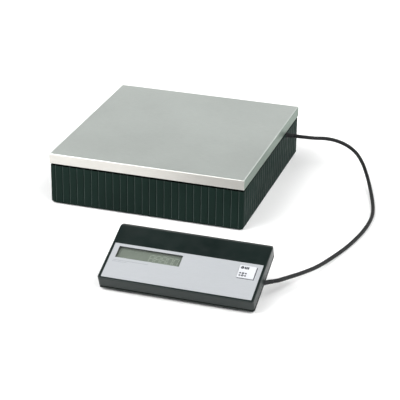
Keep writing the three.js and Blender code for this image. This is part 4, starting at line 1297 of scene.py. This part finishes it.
def case_screw_piece(i, x, y):
    """A case screw with a domed head, head down."""
    node, radius, head = f"case_screw_{i}", CASE_SCREW["radius"], CASE_SCREW["head"]
    profile = [(0, -9), (0.7, -9), (1.1, -8.3)]
    profile += [(radius if k % 2 else radius - 0.3, -8 + k * 0.5) for k in range(15)]
    profile += [(radius, -0.3), (radius, 0), (head, 0), (head, 0.8), (head - 0.5, 1.4), (1.4, 1.6), (0, 1.6)]
    under_head = Vector((x, y, CASE_SCREW["seat"] - GAP)) * MM
    place = SLAB @ Matrix.Translation(under_head) @ Matrix.Rotation(math.pi, 4, "X")
    piece = new_piece(f"cover_screw_{i}", turned(profile, 32), place)
    cut(piece, *tools_in(place, *cross(1.6, 0.35, 0.8, 3)))
    dress(piece, "display", ZINC, [node])


def dress_cad_nodes():
    """CAD nodes whose shape is right keep it, and get a better material."""
    finishes = {
        "load_cell_lead": JACKET,
        "display_lead": JACKET,
        "overload_stop_screw": ZINC,
        "key_switch": CASE,
        "lcd_connector_strip": RUBBER,
        "display_circuit_board": BOARD,
        "battery_plate_1": ZINC,
        "battery_plate_2": ZINC,
    }
    for node, material in finishes.items():
        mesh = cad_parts[node].data
        mesh.materials.clear()
        mesh.materials.append(material)


make_batteries()
make_springs()
refine("battery_door", "battery_cover", "door", CASE, 0.15)
make_display_feet()
for number, (screw_x, screw_y) in enumerate(case_screw_places(), 1):
    case_screw_piece(number, screw_x, screw_y)
dress_cad_nodes()


# ---- Floor and light ----

def make_floor():
    bm = bmesh.new()
    bmesh.ops.create_grid(bm, x_segments=1, y_segments=1, size=6)
    floor = new_piece("floor", bm, WORLD, 1)
    nodes = Nodes("floor_paint", (0.94, 0.94, 0.94), 0.9, 0.0)
    nodes.paint(nodes.blend(nodes.noise(3, 2), (0.93, 0.93, 0.93), (0.95, 0.95, 0.95)))
    nodes.shader.inputs["Specular IOR Level"].default_value = 0.1
    floor.data.materials.append(nodes.material)


def area_light(name, location, target, side, power):
    data = bpy.data.lights.new(name, "AREA")
    data.shape = "SQUARE"
    data.size = side
    data.energy = power
    light = bpy.data.objects.new(name, data)
    bpy.context.scene.collection.objects.link(light)
    light.location = location
    light.rotation_mode = "QUATERNION"
    light.rotation_quaternion = (Vector(target) - Vector(location)).to_track_quat("-Z", "Y")


def make_world():
    """A dim room with a pale band low on its walls, so faces that look up at the ceiling stay dark."""
    world = bpy.data.worlds.new("studio")
    bpy.context.scene.world = world
    world.use_nodes = True
    tree = world.node_tree
    where = tree.nodes.new("ShaderNodeTexCoord")
    split = tree.nodes.new("ShaderNodeSeparateXYZ")
    tree.links.new(where.outputs["Generated"], split.inputs["Vector"])
    ramp = tree.nodes.new("ShaderNodeValToRGB")
    tree.links.new(split.outputs["Z"], ramp.inputs["Fac"])
    stops = ramp.color_ramp.elements
    stops[0].position, stops[0].color = 0.0, (0.8, 0.8, 0.8, 1)
    stops[1].position, stops[1].color = 0.75, (0.03, 0.03, 0.03, 1)
    middle = stops.new(0.55)
    middle.color = (0.85, 0.86, 0.85, 1)
    tree.links.new(ramp.outputs["Color"], tree.nodes["Background"].inputs["Color"])
    tree.nodes["Background"].inputs["Strength"].default_value = 1.0


make_floor()
make_world()
area_light("key_light", (-3.8, -2.8, 4.6), (0, 0.4, 0), 6, 560)
area_light("fill_light", (4.2, -1.5, 4.6), (0, 0.4, 0), 5, 280)
area_light("side_light", (4.4, 3.2, 4.2), (0, 0.2, 0), 4, 150)
bpy.context.scene.view_settings.view_transform = "Standard"
